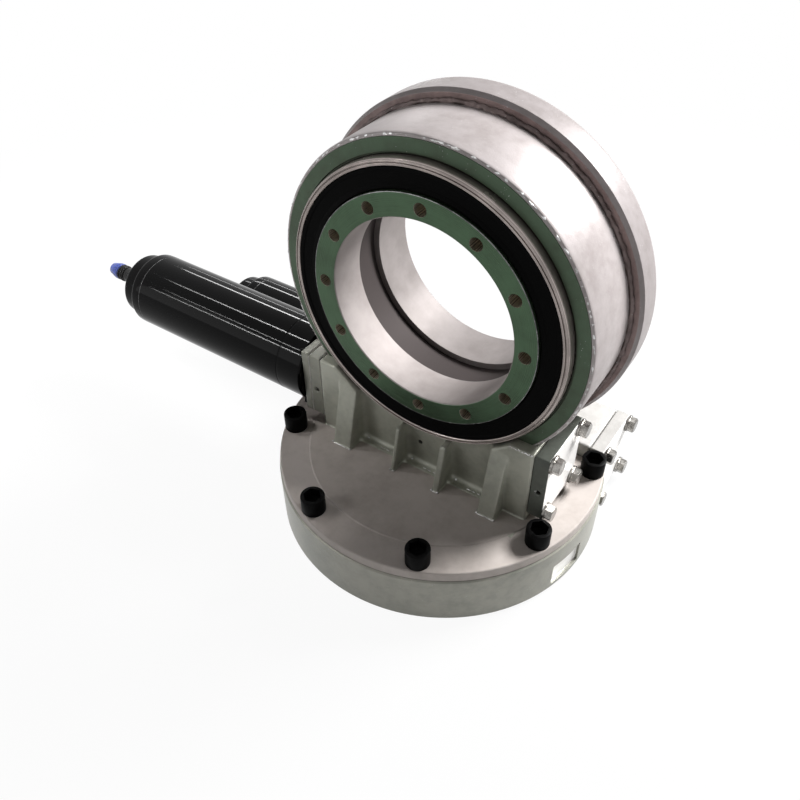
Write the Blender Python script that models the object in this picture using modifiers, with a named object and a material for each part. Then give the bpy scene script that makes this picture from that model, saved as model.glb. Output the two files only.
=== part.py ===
"""Two-axis slew drive for a solar tracker, about 0.65 m long and 0.43 m tall.

An upright geared ring sits in a drum on top of a ribbed worm housing, and the whole
casting turns on a lying geared ring in the base. Each ring is driven by its own worm,
and each worm by a black gearmotor on the -X side. The origin is on the base ring's
axis, in the plane that the base ring stands on. +Z is up, the drum faces -Y.
"""

import math

import bmesh
import bpy
from mathutils import Matrix

COLLECTION_NAME = "solar_slew_drive"
CUTTER_COLLECTION_NAME = "cutters"

# Clearances and cuts
SEAT_GAP = 0.0003
RUNNING_GAP = 0.0008
CUT_OVERRUN = 0.006
UNION_OVERLAP = 0.0008
MERGE_DISTANCE = 0.00001

# Facets of round pieces
RING_SEGMENTS = 32
WORM_SEGMENTS = 10
MOTOR_SEGMENTS = 20
BOLT_SEGMENTS = 12
HOLE_SEGMENTS = 8
SHANK_SEGMENTS = 6
GROOVE_STEPS = 2
BALL_ROW_SIDES = 4

# Gearing, the same worm for both rings
MODULE = 0.004
ELEVATION_TEETH = 63
AZIMUTH_TEETH = 41
WORM_PITCH_RADIUS = 0.015
PRESSURE_ANGLE = math.radians(20)
ADDENDUM_SHARE = 1.0
DEDENDUM_SHARE = 1.25
WHEEL_TOOTH_SHARE = 0.45
THREAD_SHARE = 0.35
THREAD_TURNS = 3
ELEVATION_GEAR_WIDTH = 0.024
AZIMUTH_GEAR_WIDTH = 0.020

# Worm axes, both along X
ELEVATION_WORM_Y = -0.012
ELEVATION_WORM_Z = 0.1215
AZIMUTH_WORM_Z = 0.0485

# Upright ring and drum, radii from the gear outwards
SEAL_FACE_WIDTH = 0.0197
FRONT_BORE_RADIUS = 0.092
RECESS_BORE_RADIUS = 0.104
REAR_BORE_RADIUS = 0.0979
TIP_CLEARANCE = 0.004
LIP_SHOULDER = 0.006
LIP_WIDTH = 0.006
LIP_CHAMFER = 0.0025
LIP_GROOVE_WIDTH = 0.0017
LIP_GROOVE_DEPTH = 0.002
DRUM_FACE_WIDTH = 0.0157
DRUM_FACE_CHAMFER = 0.0035
SHELL_SHOULDER = 0.011
SHELL_WALL = 0.010
SHELL_ROUNDING = 0.008
RING_LAND_RADIUS = 0.1205
RACE_SHOULDER = 0.0063
BLANK_DEPTH = 0.002

# Upright ring and drum, places along Y
DRUM_FACE_Y = -0.036
DRUM_REAR_Y = 0.033
SHELL_REAR_Y = 0.068
LIP_PROUD = 0.0088
LIP_SEAT_DEPTH = 0.0033
RING_PROUD = 0.002
SEAL_SETBACK = 0.0008
SEAL_THICKNESS = 0.008
RACE_FRONT_Y = 0.009
RACE_WIDTH = 0.022
FRONT_BORE_DEPTH = 0.0391
RING_SPLIT_Y = 0.032
RING_EDGE_CHAMFER = 0.0008

# Ball rows
BALL_RADIUS = 0.0052
GROOVE_RADIUS = 0.006
LAND_SPACE = 0.007

# Tapped holes of both rings
RING_HOLE_COUNT = 12
RING_HOLE_RADIUS = 0.006
RING_HOLE_DEPTH = 0.020
RING_HOLE_CIRCLE_RADIUS = 0.1026
BASE_HOLE_RADIUS = 0.006
BASE_HOLE_DEPTH = 0.018
BASE_HOLE_CIRCLE_RADIUS = 0.078

# Lying ring of the base
BASE_FLANGE_REACH = 0.0195
BASE_FLANGE_HEIGHT = 0.012
BASE_BORE_RADIUS = 0.056
BASE_LAND_RADIUS = 0.0885
BASE_BALL_Z = 0.0213
BASE_LAND_TOP_Z = 0.0300
BASE_BLANK_TOP_GAP = 0.001

# Lower drum
LOWER_DRUM_BOTTOM_Z = 0.002
PARTING_Z = 0.0607
LOWER_DRUM_CHAMFER = 0.0015
LOWER_SEAL_WIDTH = 0.0035
LOWER_SEAL_HEIGHT = 0.009
LOWER_CAVITY_CLEARANCE = 0.006
CAVITY_RELIEF = 0.001
SIDE_POCKET_ANGLE = math.radians(-11.5)
SIDE_POCKET_WIDTH = 0.043
SIDE_POCKET_HEIGHT = 0.028
SIDE_POCKET_BOTTOM_Z = 0.008
SIDE_POCKET_DEPTH = 0.004
COVER_NOTCH_GAP = 0.001

# Flange of the upper casting
FLANGE_TOP_Z = 0.072
FLANGE_BOLT_EDGE_REACH = 0.0125
PARTING_STEP = 0.0015
REAR_RIM_STEP = 0.0005
FLANGE_CHAMFER = 0.001
PAD_RADIUS = 0.1398
PAD_HEIGHT = 0.001

# Black bolts of the flange
FLANGE_BOLT_CLEARANCE = 0.010
FLANGE_BOLT_ANGLES = tuple(math.radians(a) for a in (-154.5, -110, -66, -23.5, 17.5, 162.5))
FLANGE_BOLT_HEAD_RADIUS = 0.012
FLANGE_BOLT_HEAD_HEIGHT = 0.016
FLANGE_BOLT_SHANK_RADIUS = 0.008
FLANGE_BOLT_LENGTH = 0.034
FLANGE_BOLT_SOCKET_RADIUS = 0.0091
FLANGE_BOLT_SOCKET_DEPTH = 0.010
FLANGE_BOLT_EDGE = 0.0012
SPRING_WASHER_HEIGHT = 0.0032

# Worm housing on the flange
BLOCK_LEFT_X = -0.1195
BLOCK_RIGHT_X = 0.124
BLOCK_HALF_WIDTH = 0.036
BLOCK_HALF_HEIGHT = 0.039
BLOCK_EDGE = 0.003
WEB_HALF_WIDTH = 0.0265
BAY_ROUNDING = 0.009
BAY_FLOOR_GAP = 0.0006
LEFT_POST_X = (-0.094, -0.072)
RIGHT_POST_X = (0.0806, 0.099)
LEFT_RIB_X = (-0.021, -0.017)
RIGHT_RIB_X = (0.029, 0.0357)
POST_FOOT_REACH = 0.054
REAR_FOOT_REACH = 0.047
POST_TOP_REACH = 0.0335
POST_TOP_Z = 0.158

# Base worm block
BASE_BLOCK_HALF_LENGTH = 0.140
BASE_BLOCK_HALF_WIDTH = 0.035

# Worm shafts, bearings and seals
TUNNEL_RADIUS = 0.020
BEARING_OUTER_RADIUS = 0.026
BEARING_INNER_RADIUS = 0.0128
BEARING_WIDTH = 0.016
BEARING_END_GAP = 0.0035
SHAFT_SHOULDER_RADIUS = 0.016
SHAFT_SHOULDER_WIDTH = 0.006
SHAFT_WAIST_RADIUS = 0.0135
SHAFT_SOCKET_RADIUS = 0.0085
SHAFT_SOCKET_DEPTH = 0.034
DRIVE_SHAFT_END_GAP = 0.002
THREAD_RELIEF = 0.006

# End covers and adaptor plates
PLATE_HALF_WIDTH = 0.035
PLATE_HALF_HEIGHT = 0.039
PLATE_EDGE = 0.0015
COVER_THICKNESS = 0.015
COVER_SPIGOT_DEPTH = 0.0028
ADAPTOR_THICKNESS = 0.014
ADAPTOR_BORE_RADIUS = 0.0225
MOTOR_PLATE_THICKNESS = 0.010
PORT_RADIUS = 0.0025
PORT_DEPTH = 0.007
WEB_PORT_X = -0.002
WEB_PORT_Z = 0.101
PORT_SETBACK = 0.0055
SHAFT_SEAL_WIDTH = 0.007

# Hex bolts of the covers
COVER_BOLT_HALF_Y = 0.0285
COVER_BOLT_HALF_Z = 0.032
COVER_BOLT_HEAD_RADIUS = 0.0086
COVER_BOLT_HEAD_HEIGHT = 0.007
COVER_BOLT_WASHER_RADIUS = 0.0092
COVER_BOLT_WASHER_HEIGHT = 0.002
COVER_BOLT_SHANK_RADIUS = 0.005
COVER_BOLT_DEPTH = 0.018

# Gearmotors
MOTOR_RADIUS = 0.043
MOTOR_EDGE = 0.0015
MOTOR_SHAFT_BORE_DEPTH = 0.014
ELEVATION_MOTOR_LENGTH = 0.243
AZIMUTH_MOTOR_LENGTH = 0.172
MOTOR_CAP_LENGTH = 0.014
MOTOR_CAP_ROUNDING = 0.004
REAR_CAP_RADIUS = 0.0365
REAR_CAP_LENGTH = 0.019
REAR_CAP_ROUNDING = 0.004
GLAND_RADIUS = 0.012
GLAND_LENGTH = 0.034
GLAND_COLLAR_RADIUS = 0.0095
GLAND_COLLAR_SHARE = 0.45
CONNECTOR_RADIUS = 0.010
CONNECTOR_LENGTH = 0.026
CONNECTOR_TIP_RADIUS = 0.007

# Worked out from the sizes above
TURN_TO_Y = Matrix.Rotation(math.radians(-90), 4, "X")
TURN_TO_X = Matrix.Rotation(math.radians(90), 4, "Y")
LEAD = math.pi * MODULE
ELEVATION_PITCH_RADIUS = ELEVATION_TEETH * MODULE / 2
AZIMUTH_PITCH_RADIUS = AZIMUTH_TEETH * MODULE / 2
ELEVATION_AXIS_Z = ELEVATION_WORM_Z + ELEVATION_PITCH_RADIUS + WORM_PITCH_RADIUS
AZIMUTH_WORM_Y = AZIMUTH_PITCH_RADIUS + WORM_PITCH_RADIUS
CAVITY_RADIUS = ELEVATION_PITCH_RADIUS + ADDENDUM_SHARE * MODULE + TIP_CLEARANCE
LIP_OUTER_RADIUS = CAVITY_RADIUS + LIP_SHOULDER
LIP_INNER_RADIUS = LIP_OUTER_RADIUS - LIP_WIDTH
RING_FACE_RADIUS = LIP_INNER_RADIUS - SEAL_FACE_WIDTH
LIP_SEAT_RADIUS = LIP_OUTER_RADIUS + SEAT_GAP
LIP_GROOVE_RADIUS = LIP_SEAT_RADIUS + LIP_GROOVE_WIDTH
DRUM_RADIUS = LIP_GROOVE_RADIUS + DRUM_FACE_WIDTH
SHELL_RADIUS = DRUM_RADIUS + SHELL_SHOULDER
RACE_SEAT_RADIUS = CAVITY_RADIUS + RACE_SHOULDER
LIP_FRONT_Y = DRUM_FACE_Y - LIP_PROUD
RING_FRONT_Y = LIP_FRONT_Y - RING_PROUD
SHELL_LIP_Y = SHELL_REAR_Y + LIP_PROUD
RING_REAR_Y = SHELL_LIP_Y + RING_PROUD
SHELL_FRONT_Y = DRUM_REAR_Y + SEAT_GAP
BALL_ROW_OFFSET = LAND_SPACE / 2
BASE_FLANGE_RADIUS = BASE_LAND_RADIUS + BASE_FLANGE_REACH
PAD_TOP_Z = FLANGE_TOP_Z + PAD_HEIGHT
FLANGE_REAR_Y = AZIMUTH_WORM_Y - BASE_BLOCK_HALF_WIDTH - COVER_NOTCH_GAP
BLOCK_TOP_Z = ELEVATION_WORM_Z + BLOCK_HALF_HEIGHT
COVER_BOLT_REACH = COVER_BOLT_HALF_Y + COVER_BOLT_WASHER_RADIUS
COVER_STACK = COVER_THICKNESS + COVER_BOLT_WASHER_HEIGHT + COVER_BOLT_HEAD_HEIGHT
FLANGE_BOLT_CIRCLE_RADIUS = BLOCK_RIGHT_X + COVER_STACK + FLANGE_BOLT_CLEARANCE
FLANGE_RADIUS = FLANGE_BOLT_CIRCLE_RADIUS + FLANGE_BOLT_EDGE_REACH
LOWER_DRUM_RADIUS = FLANGE_RADIUS + PARTING_STEP
REAR_RIM_RADIUS = FLANGE_RADIUS - REAR_RIM_STEP
NOTCH_FRONT_Y = AZIMUTH_WORM_Y - COVER_BOLT_REACH - COVER_NOTCH_GAP


def make_collection(name):
    collection = bpy.data.collections.new(name)
    bpy.context.scene.collection.children.link(collection)
    return collection


def clear_scene():
    for old in list(bpy.data.objects):
        bpy.data.objects.remove(old, do_unlink=True)


def finish_material(name, colour, roughness, metallic):
    material = bpy.data.materials.new(name)
    material.use_nodes = True
    shader = material.node_tree.nodes["Principled BSDF"]
    shader.inputs["Base Color"].default_value = (*colour, 1)
    shader.inputs["Roughness"].default_value = roughness
    shader.inputs["Metallic"].default_value = metallic
    return material


def cast_silver(name):
    return finish_material(name, (0.55, 0.54, 0.53), 0.42, 0.7)


def machined_steel(name):
    return finish_material(name, (0.62, 0.62, 0.61), 0.28, 1.0)


def zinc_plated(name):
    return finish_material(name, (0.70, 0.70, 0.70), 0.3, 1.0)


def black_oxide(name):
    return finish_material(name, (0.02, 0.02, 0.022), 0.45, 0.6)


def black_gloss(name):
    return finish_material(name, (0.008, 0.008, 0.009), 0.18, 0.0)


def black_rubber(name):
    return finish_material(name, (0.012, 0.013, 0.012), 0.7, 0.0)


def blue_plastic(name):
    return finish_material(name, (0.02, 0.09, 0.45), 0.4, 0.0)


def add_object(name, mesh, place=None):
    thing = bpy.data.objects.new(name, mesh)
    PARTS.objects.link(thing)
    if place is not None:
        thing.matrix_world = place
    return thing


def finished(thing, material_maker):
    """The piece with its own material, and the specks left by its cuts welded."""
    weld = thing.modifiers.new("weld", "WELD")
    weld.merge_threshold = MERGE_DISTANCE
    thing.data.materials.append(material_maker(thing.name + "_finish"))
    return thing


def as_cutter(thing):
    PARTS.objects.unlink(thing)
    CUTTERS.objects.link(thing)
    thing.hide_render = True
    thing.display_type = "WIRE"
    return thing


def mesh_from(name, bm):
    mesh = bpy.data.meshes.new(name)
    bm.to_mesh(mesh)
    bm.free()
    return mesh


def boolean(thing, other, operation):
    step = thing.modifiers.new(operation.lower(), "BOOLEAN")
    step.operation = operation
    step.solver = "EXACT"
    step.object = other


def cut(thing, *cutters):
    for cutter in cutters:
        boolean(thing, as_cutter(cutter), "DIFFERENCE")


def join(thing, *others):
    for other in others:
        boolean(thing, as_cutter(other), "UNION")


def turned(name, profile, place, segments=RING_SEGMENTS, closed=True):
    """A turned solid: the profile is (radius, height) points down the outer side."""
    bm = bmesh.new()
    points = [bm.verts.new((radius, 0, height)) for radius, height in profile]
    for first, second in zip(points, points[1:]):
        bm.edges.new((first, second))
    if closed:
        bm.edges.new((points[-1], points[0]))
    thing = add_object(name, mesh_from(name, bm), place)
    screw = thing.modifiers.new("turn", "SCREW")
    screw.axis = "Z"
    screw.angle = math.tau
    screw.steps = segments
    screw.render_steps = segments
    screw.use_merge_vertices = True
    screw.merge_threshold = MERGE_DISTANCE
    screw.use_smooth_shade = True
    return thing


def turned_solid(name, stations, place, segments=RING_SEGMENTS):
    """A turned solid without a bore, closed on its axis at both ends."""
    profile = [(0, stations[0][1]), *stations, (0, stations[-1][1])]
    return turned(name, profile, place, segments, closed=False)


def rod(name, radius, low, high, place, segments=HOLE_SEGMENTS):
    return turned_solid(name, [(radius, high), (radius, low)], place, segments)


def plain_ring(outer, inner, low, high):
    """Profile of a ring with a square section."""
    return [(outer, high), (outer, low), (inner, low), (inner, high)]


def box(name, low, high, edge=0.0, edge_segments=1):
    size = [b - a for a, b in zip(low, high)]
    centre = [(a + b) / 2 for a, b in zip(low, high)]
    bm = bmesh.new()
    bmesh.ops.create_cube(bm, size=1.0, matrix=Matrix.Diagonal((*size, 1)))
    thing = add_object(name, mesh_from(name, bm), Matrix.Translation(centre))
    if edge:
        bevel = thing.modifiers.new("edges", "BEVEL")
        bevel.width = edge
        bevel.segments = edge_segments
        bevel.limit_method = "ANGLE"
    return thing


def prism_along_x(name, outline, x_range):
    """A flat (y, z) outline, given clockwise seen from +X, made x_range thick."""
    bm = bmesh.new()
    face = bm.faces.new([bm.verts.new((x_range[0], y, z)) for y, z in outline])
    grown = bmesh.ops.extrude_face_region(bm, geom=[face], use_keep_orig=True)
    moved = [g for g in grown["geom"] if isinstance(g, bmesh.types.BMVert)]
    bmesh.ops.translate(bm, vec=(x_range[1] - x_range[0], 0, 0), verts=moved)
    bmesh.ops.recalc_face_normals(bm, faces=bm.faces)
    return add_object(name, mesh_from(name, bm))


def groove_arc(row_radius, middle, land_radius):
    """Points of a ball groove, top to bottom, cut into the land on either side."""
    towards = 1 if land_radius > row_radius else -1
    half = math.acos(abs(row_radius - land_radius) / GROOVE_RADIUS)
    angles = [half - 2 * half * i / GROOVE_STEPS for i in range(GROOVE_STEPS + 1)]
    return [
        (
            row_radius + towards * GROOVE_RADIUS * math.cos(a),
            middle + GROOVE_RADIUS * math.sin(a),
        )
        for a in angles
    ]


def ball_row(name, row_radius, middle, place):
    """The balls of one bearing row, as the ring that they sweep."""
    angles = [-math.tau * i / BALL_ROW_SIDES for i in range(BALL_ROW_SIDES)]
    profile = [
        (row_radius + BALL_RADIUS * math.cos(a), middle + BALL_RADIUS * math.sin(a))
        for a in angles
    ]
    return finished(turned(name, profile, place), machined_steel)


def hole_circle(prefix, radius, circle_radius, low, high, place, segments):
    """Cutters for a full circle of tapped holes about the placed Z axis."""
    holes = []
    for i in range(RING_HOLE_COUNT):
        angle = math.tau * i / RING_HOLE_COUNT
        spot = Matrix.Translation(
            (circle_radius * math.cos(angle), circle_radius * math.sin(angle), 0)
        )
        turn = Matrix.Rotation(angle + math.pi / segments, 4, "Z")
        holes.append(
            rod(f"{prefix}_{i + 1}", radius, low, high, place @ spot @ turn, segments)
        )
    return holes


def toothed_disc(name, teeth, width, middle, place):
    """Worm wheel teeth on a solid disc, slanted by the worm's lead angle.

    The disc is built about +Z with a tooth gap at +Y, where the worm lies.
    """
    pitch_radius = teeth * MODULE / 2
    tip_radius = pitch_radius + ADDENDUM_SHARE * MODULE
    root_radius = pitch_radius - DEDENDUM_SHARE * MODULE
    slope = math.tan(PRESSURE_ANGLE)
    half_thick = WHEEL_TOOTH_SHARE * LEAD / 2
    tip_half = (half_thick - (tip_radius - pitch_radius) * slope) / tip_radius
    root_half = (half_thick + (pitch_radius - root_radius) * slope) / root_radius
    bm = bmesh.new()
    points = []
    for i in range(teeth):
        centre = math.radians(90) + math.tau * (i + 0.5) / teeth
        for radius, offset in (
            (root_radius, -root_half),
            (tip_radius, -tip_half),
            (tip_radius, tip_half),
            (root_radius, root_half),
        ):
            angle = centre + offset
            points.append((radius * math.cos(angle), radius * math.sin(angle)))
    low = middle - width / 2
    face = bm.faces.new([bm.verts.new((x, y, low)) for x, y in points])
    grown = bmesh.ops.extrude_face_region(bm, geom=[face], use_keep_orig=True)
    top = [g for g in grown["geom"] if isinstance(g, bmesh.types.BMVert)]
    bmesh.ops.translate(bm, vec=(0, 0, width), verts=top)
    bottom = [v for v in bm.verts if v not in set(top)]
    twist = math.tan(math.atan(MODULE / (2 * WORM_PITCH_RADIUS))) * width / 2 / pitch_radius
    bmesh.ops.rotate(bm, matrix=Matrix.Rotation(twist, 3, "Z"), verts=top)
    bmesh.ops.rotate(bm, matrix=Matrix.Rotation(-twist, 3, "Z"), verts=bottom)
    bmesh.ops.recalc_face_normals(bm, faces=bm.faces)
    return add_object(name, mesh_from(name, bm), place)


def worm_thread(name, contact_angle, place):
    """One right-hand thread about +Z, with its crest at contact_angle at height 0."""
    slope = math.tan(PRESSURE_ANGLE)
    tip_radius = WORM_PITCH_RADIUS + ADDENDUM_SHARE * MODULE
    root_radius = WORM_PITCH_RADIUS - DEDENDUM_SHARE * MODULE - UNION_OVERLAP
    half_thick = THREAD_SHARE * LEAD / 2
    tip_half = half_thick - (tip_radius - WORM_PITCH_RADIUS) * slope
    root_half = half_thick + (WORM_PITCH_RADIUS - root_radius) * slope
    start = -LEAD * THREAD_TURNS / 2
    bm = bmesh.new()
    corners = [
        bm.verts.new((radius, 0, start + height))
        for radius, height in (
            (root_radius, root_half),
            (tip_radius, tip_half),
            (tip_radius, -tip_half),
            (root_radius, -root_half),
        )
    ]
    edges = [bm.edges.new((a, b)) for a, b in zip(corners, corners[1:] + corners[:1])]
    start_angle = contact_angle - math.pi * THREAD_TURNS
    bmesh.ops.rotate(bm, matrix=Matrix.Rotation(start_angle, 3, "Z"), verts=corners)
    bmesh.ops.spin(
        bm,
        geom=corners + edges,
        axis=(0, 0, 1),
        cent=(0, 0, 0),
        dvec=(0, 0, LEAD / WORM_SEGMENTS),
        angle=math.tau * THREAD_TURNS,
        steps=WORM_SEGMENTS * THREAD_TURNS,
    )
    ends = [e for e in bm.edges if e.is_boundary]
    bmesh.ops.holes_fill(bm, edges=ends, sides=len(corners))
    bmesh.ops.recalc_face_normals(bm, faces=bm.faces)
    return add_object(name, mesh_from(name, bm), place)


def build_elevation_ring(place):
    """The upright geared ring: a toothed front half and a rear half behind it."""
    row_radius = RING_LAND_RADIUS + BALL_ROW_OFFSET
    race_middle = RACE_FRONT_Y + RACE_WIDTH / 2
    blank_radius = ELEVATION_PITCH_RADIUS - DEDENDUM_SHARE * MODULE - BLANK_DEPTH
    gear_front = ELEVATION_WORM_Y - ELEVATION_GEAR_WIDTH / 2
    gear_rear = ELEVATION_WORM_Y + ELEVATION_GEAR_WIDTH / 2
    bore_step = RING_FRONT_Y + FRONT_BORE_DEPTH
    ring = turned(
        "elevation_gear_ring",
        [
            (RING_LAND_RADIUS, RING_SPLIT_Y),
            *groove_arc(row_radius, race_middle, RING_LAND_RADIUS),
            (RING_LAND_RADIUS, gear_rear + SEAT_GAP),
            (blank_radius, gear_rear - UNION_OVERLAP),
            (blank_radius, gear_front + UNION_OVERLAP),
            (RING_FACE_RADIUS, gear_front - UNION_OVERLAP),
            (RING_FACE_RADIUS, RING_FRONT_Y + RING_EDGE_CHAMFER),
            (RING_FACE_RADIUS - RING_EDGE_CHAMFER, RING_FRONT_Y),
            (FRONT_BORE_RADIUS + RING_EDGE_CHAMFER, RING_FRONT_Y),
            (FRONT_BORE_RADIUS, RING_FRONT_Y + RING_EDGE_CHAMFER),
            (FRONT_BORE_RADIUS, bore_step),
            (RECESS_BORE_RADIUS, bore_step),
            (RECESS_BORE_RADIUS, RING_SPLIT_Y),
        ],
        place,
    )
    teeth = toothed_disc(
        "elevation_teeth", ELEVATION_TEETH, ELEVATION_GEAR_WIDTH, ELEVATION_WORM_Y, place
    )
    core_radius = (RECESS_BORE_RADIUS + blank_radius) / 2
    cut(
        teeth,
        rod(
            "elevation_teeth_core",
            core_radius,
            gear_front - CUT_OVERRUN,
            gear_rear + CUT_OVERRUN,
            place,
            RING_SEGMENTS,
        ),
    )
    join(ring, teeth)
    front_holes = hole_circle(
        "ring_front_hole",
        RING_HOLE_RADIUS,
        RING_HOLE_CIRCLE_RADIUS,
        RING_FRONT_Y - CUT_OVERRUN,
        RING_FRONT_Y + RING_HOLE_DEPTH,
        place,
        HOLE_SEGMENTS,
    )
    cut(ring, *front_holes)
    finished(ring, machined_steel)

    rear = turned(
        "elevation_rear_ring",
        [
            (RING_FACE_RADIUS - RING_EDGE_CHAMFER, RING_REAR_Y),
            (RING_FACE_RADIUS, RING_REAR_Y - RING_EDGE_CHAMFER),
            (RING_FACE_RADIUS, RING_SPLIT_Y + SEAT_GAP),
            (REAR_BORE_RADIUS, RING_SPLIT_Y + SEAT_GAP),
            (REAR_BORE_RADIUS, RING_REAR_Y - RING_EDGE_CHAMFER),
            (REAR_BORE_RADIUS + RING_EDGE_CHAMFER, RING_REAR_Y),
        ],
        place,
    )
    rear_holes = hole_circle(
        "ring_rear_hole",
        RING_HOLE_RADIUS,
        (RING_FACE_RADIUS + REAR_BORE_RADIUS) / 2,
        RING_REAR_Y - RING_HOLE_DEPTH,
        RING_REAR_Y + CUT_OVERRUN,
        place,
        SHANK_SEGMENTS,
    )
    cut(rear, *rear_holes)
    finished(rear, machined_steel)


def build_elevation_bearing(place):
    """The fixed outer race of the upright ring and its row of balls."""
    row_radius = RING_LAND_RADIUS + BALL_ROW_OFFSET
    race_middle = RACE_FRONT_Y + RACE_WIDTH / 2
    inner_radius = RING_LAND_RADIUS + LAND_SPACE
    arc = groove_arc(row_radius, race_middle, inner_radius)
    race = turned(
        "elevation_outer_race",
        [
            (RACE_SEAT_RADIUS - SEAT_GAP, RACE_FRONT_Y + RACE_WIDTH),
            (RACE_SEAT_RADIUS - SEAT_GAP, RACE_FRONT_Y),
            (inner_radius, RACE_FRONT_Y),
            *reversed(arc),
            (inner_radius, RACE_FRONT_Y + RACE_WIDTH),
        ],
        place,
    )
    finished(race, machined_steel)
    ball_row("elevation_ball_row", row_radius, race_middle, place)


def build_lips_and_seals(place):
    """The bright retaining rings and the black seals, front and rear."""
    lip_back = DRUM_FACE_Y + LIP_SEAT_DEPTH
    front_lip = turned(
        "front_lip_ring",
        [
            (LIP_OUTER_RADIUS, lip_back),
            (LIP_OUTER_RADIUS, LIP_FRONT_Y + LIP_CHAMFER),
            (LIP_OUTER_RADIUS - LIP_CHAMFER, LIP_FRONT_Y),
            (LIP_INNER_RADIUS, LIP_FRONT_Y),
            (LIP_INNER_RADIUS, lip_back),
        ],
        place,
    )
    finished(front_lip, machined_steel)
    rear_lip_front = SHELL_REAR_Y - LIP_SEAT_DEPTH
    rear_lip = turned(
        "rear_lip_ring",
        [
            (LIP_OUTER_RADIUS - LIP_CHAMFER, SHELL_LIP_Y),
            (LIP_OUTER_RADIUS, SHELL_LIP_Y - LIP_CHAMFER),
            (LIP_OUTER_RADIUS, rear_lip_front),
            (LIP_INNER_RADIUS, rear_lip_front),
            (LIP_INNER_RADIUS, SHELL_LIP_Y),
        ],
        place,
    )
    finished(rear_lip, machined_steel)
    seal_outer = LIP_INNER_RADIUS - SEAT_GAP
    seal_inner = RING_FACE_RADIUS + RUNNING_GAP
    front_low = LIP_FRONT_Y + SEAL_SETBACK
    rear_high = SHELL_LIP_Y - SEAL_SETBACK
    for name, low in (
        ("front_seal", front_low),
        ("rear_seal", rear_high - SEAL_THICKNESS),
    ):
        profile = plain_ring(seal_outer, seal_inner, low, low + SEAL_THICKNESS)
        finished(turned(name, profile, place), black_rubber)


def build_rear_shell(place):
    """The larger ring welded behind the drum's belt, with a rounded rear edge."""
    corner = SHELL_RADIUS - SHELL_ROUNDING
    rounding = [
        (
            corner + SHELL_ROUNDING * math.sin(math.radians(a)),
            SHELL_REAR_Y - SHELL_ROUNDING + SHELL_ROUNDING * math.cos(math.radians(a)),
        )
        for a in (0, 30, 60, 90)
    ]
    inner = SHELL_RADIUS - SHELL_WALL
    shell = turned(
        "drum_rear_shell",
        [
            *rounding,
            (SHELL_RADIUS, SHELL_FRONT_Y),
            (RACE_SEAT_RADIUS, SHELL_FRONT_Y),
            (RACE_SEAT_RADIUS, SHELL_FRONT_Y + SHELL_WALL),
            (inner, SHELL_FRONT_Y + SHELL_WALL),
            (inner, SHELL_REAR_Y - SHELL_WALL),
            (LIP_SEAT_RADIUS, SHELL_REAR_Y - SHELL_WALL),
            (LIP_SEAT_RADIUS, SHELL_REAR_Y),
        ],
        place,
    )
    finished(shell, cast_silver)


def tunnel_cutter(name, left, right, place):
    """The worm's bore through a housing, wider at both ends for the bearings."""
    seat_radius = BEARING_OUTER_RADIUS + SEAT_GAP
    depth = BEARING_END_GAP + BEARING_WIDTH + SEAT_GAP
    return turned_solid(
        name,
        [
            (seat_radius, right + CUT_OVERRUN),
            (seat_radius, right - depth),
            (TUNNEL_RADIUS, right - depth),
            (TUNNEL_RADIUS, left + depth),
            (seat_radius, left + depth),
            (seat_radius, left - CUT_OVERRUN),
        ],
        place,
        MOTOR_SEGMENTS,
    )


def cover_bolt_places(place):
    """The four corners of a cover's bolt pattern; place turns +Z to +X."""
    return [
        place @ Matrix.Translation((side_z * COVER_BOLT_HALF_Z, side_y * COVER_BOLT_HALF_Y, 0))
        for side_z in (-1, 1)
        for side_y in (-1, 1)
    ]


def tapped_cover_holes(prefix, right, place):
    radius = COVER_BOLT_SHANK_RADIUS + SEAT_GAP
    low = right - COVER_BOLT_DEPTH - BEARING_END_GAP
    return [
        rod(
            f"{prefix}_tapped_hole_{i + 1}",
            radius,
            low,
            right + CUT_OVERRUN,
            spot,
            SHANK_SEGMENTS,
        )
        for i, spot in enumerate(cover_bolt_places(place))
    ]


def flange_bolt_places():
    return [
        Matrix.Translation(
            (
                FLANGE_BOLT_CIRCLE_RADIUS * math.cos(angle),
                FLANGE_BOLT_CIRCLE_RADIUS * math.sin(angle),
                0,
            )
        )
        for angle in FLANGE_BOLT_ANGLES
    ]


def flange_bolt_holes(prefix):
    radius = FLANGE_BOLT_SHANK_RADIUS + SEAT_GAP
    low = FLANGE_TOP_Z - FLANGE_BOLT_LENGTH - FLANGE_BOLT_EDGE
    high = FLANGE_TOP_Z + CUT_OVERRUN
    return [
        rod(f"{prefix}_bolt_hole_{i + 1}", radius, low, high, spot, BOLT_SEGMENTS)
        for i, spot in enumerate(flange_bolt_places())
    ]


def leaning_wedge(name, x_range, foot_reach, side):
    """A post or rib, wide at its foot on the flange and leaning back to the drum."""
    foot_y = ELEVATION_WORM_Y + side * foot_reach
    top_y = ELEVATION_WORM_Y + side * POST_TOP_REACH
    core_y = ELEVATION_WORM_Y + side * (WEB_HALF_WIDTH - BAY_ROUNDING)
    foot_z = FLANGE_TOP_Z - UNION_OVERLAP
    outline = [(foot_y, foot_z), (top_y, POST_TOP_Z), (core_y, POST_TOP_Z), (core_y, foot_z)]
    return prism_along_x(name, outline, x_range)


def bay_cutter(name, x_range, side):
    """The pocket between two posts or ribs, with rounded inner corners."""
    inner = ELEVATION_WORM_Y + side * WEB_HALF_WIDTH
    outer = ELEVATION_WORM_Y + side * (BLOCK_HALF_WIDTH + 2 * BAY_ROUNDING)
    low = (x_range[0], min(inner, outer), PAD_TOP_Z + BAY_FLOOR_GAP)
    high = (x_range[1], max(inner, outer), BLOCK_TOP_Z + 2 * BAY_ROUNDING)
    return box(name, low, high, BAY_ROUNDING, 3)


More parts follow.
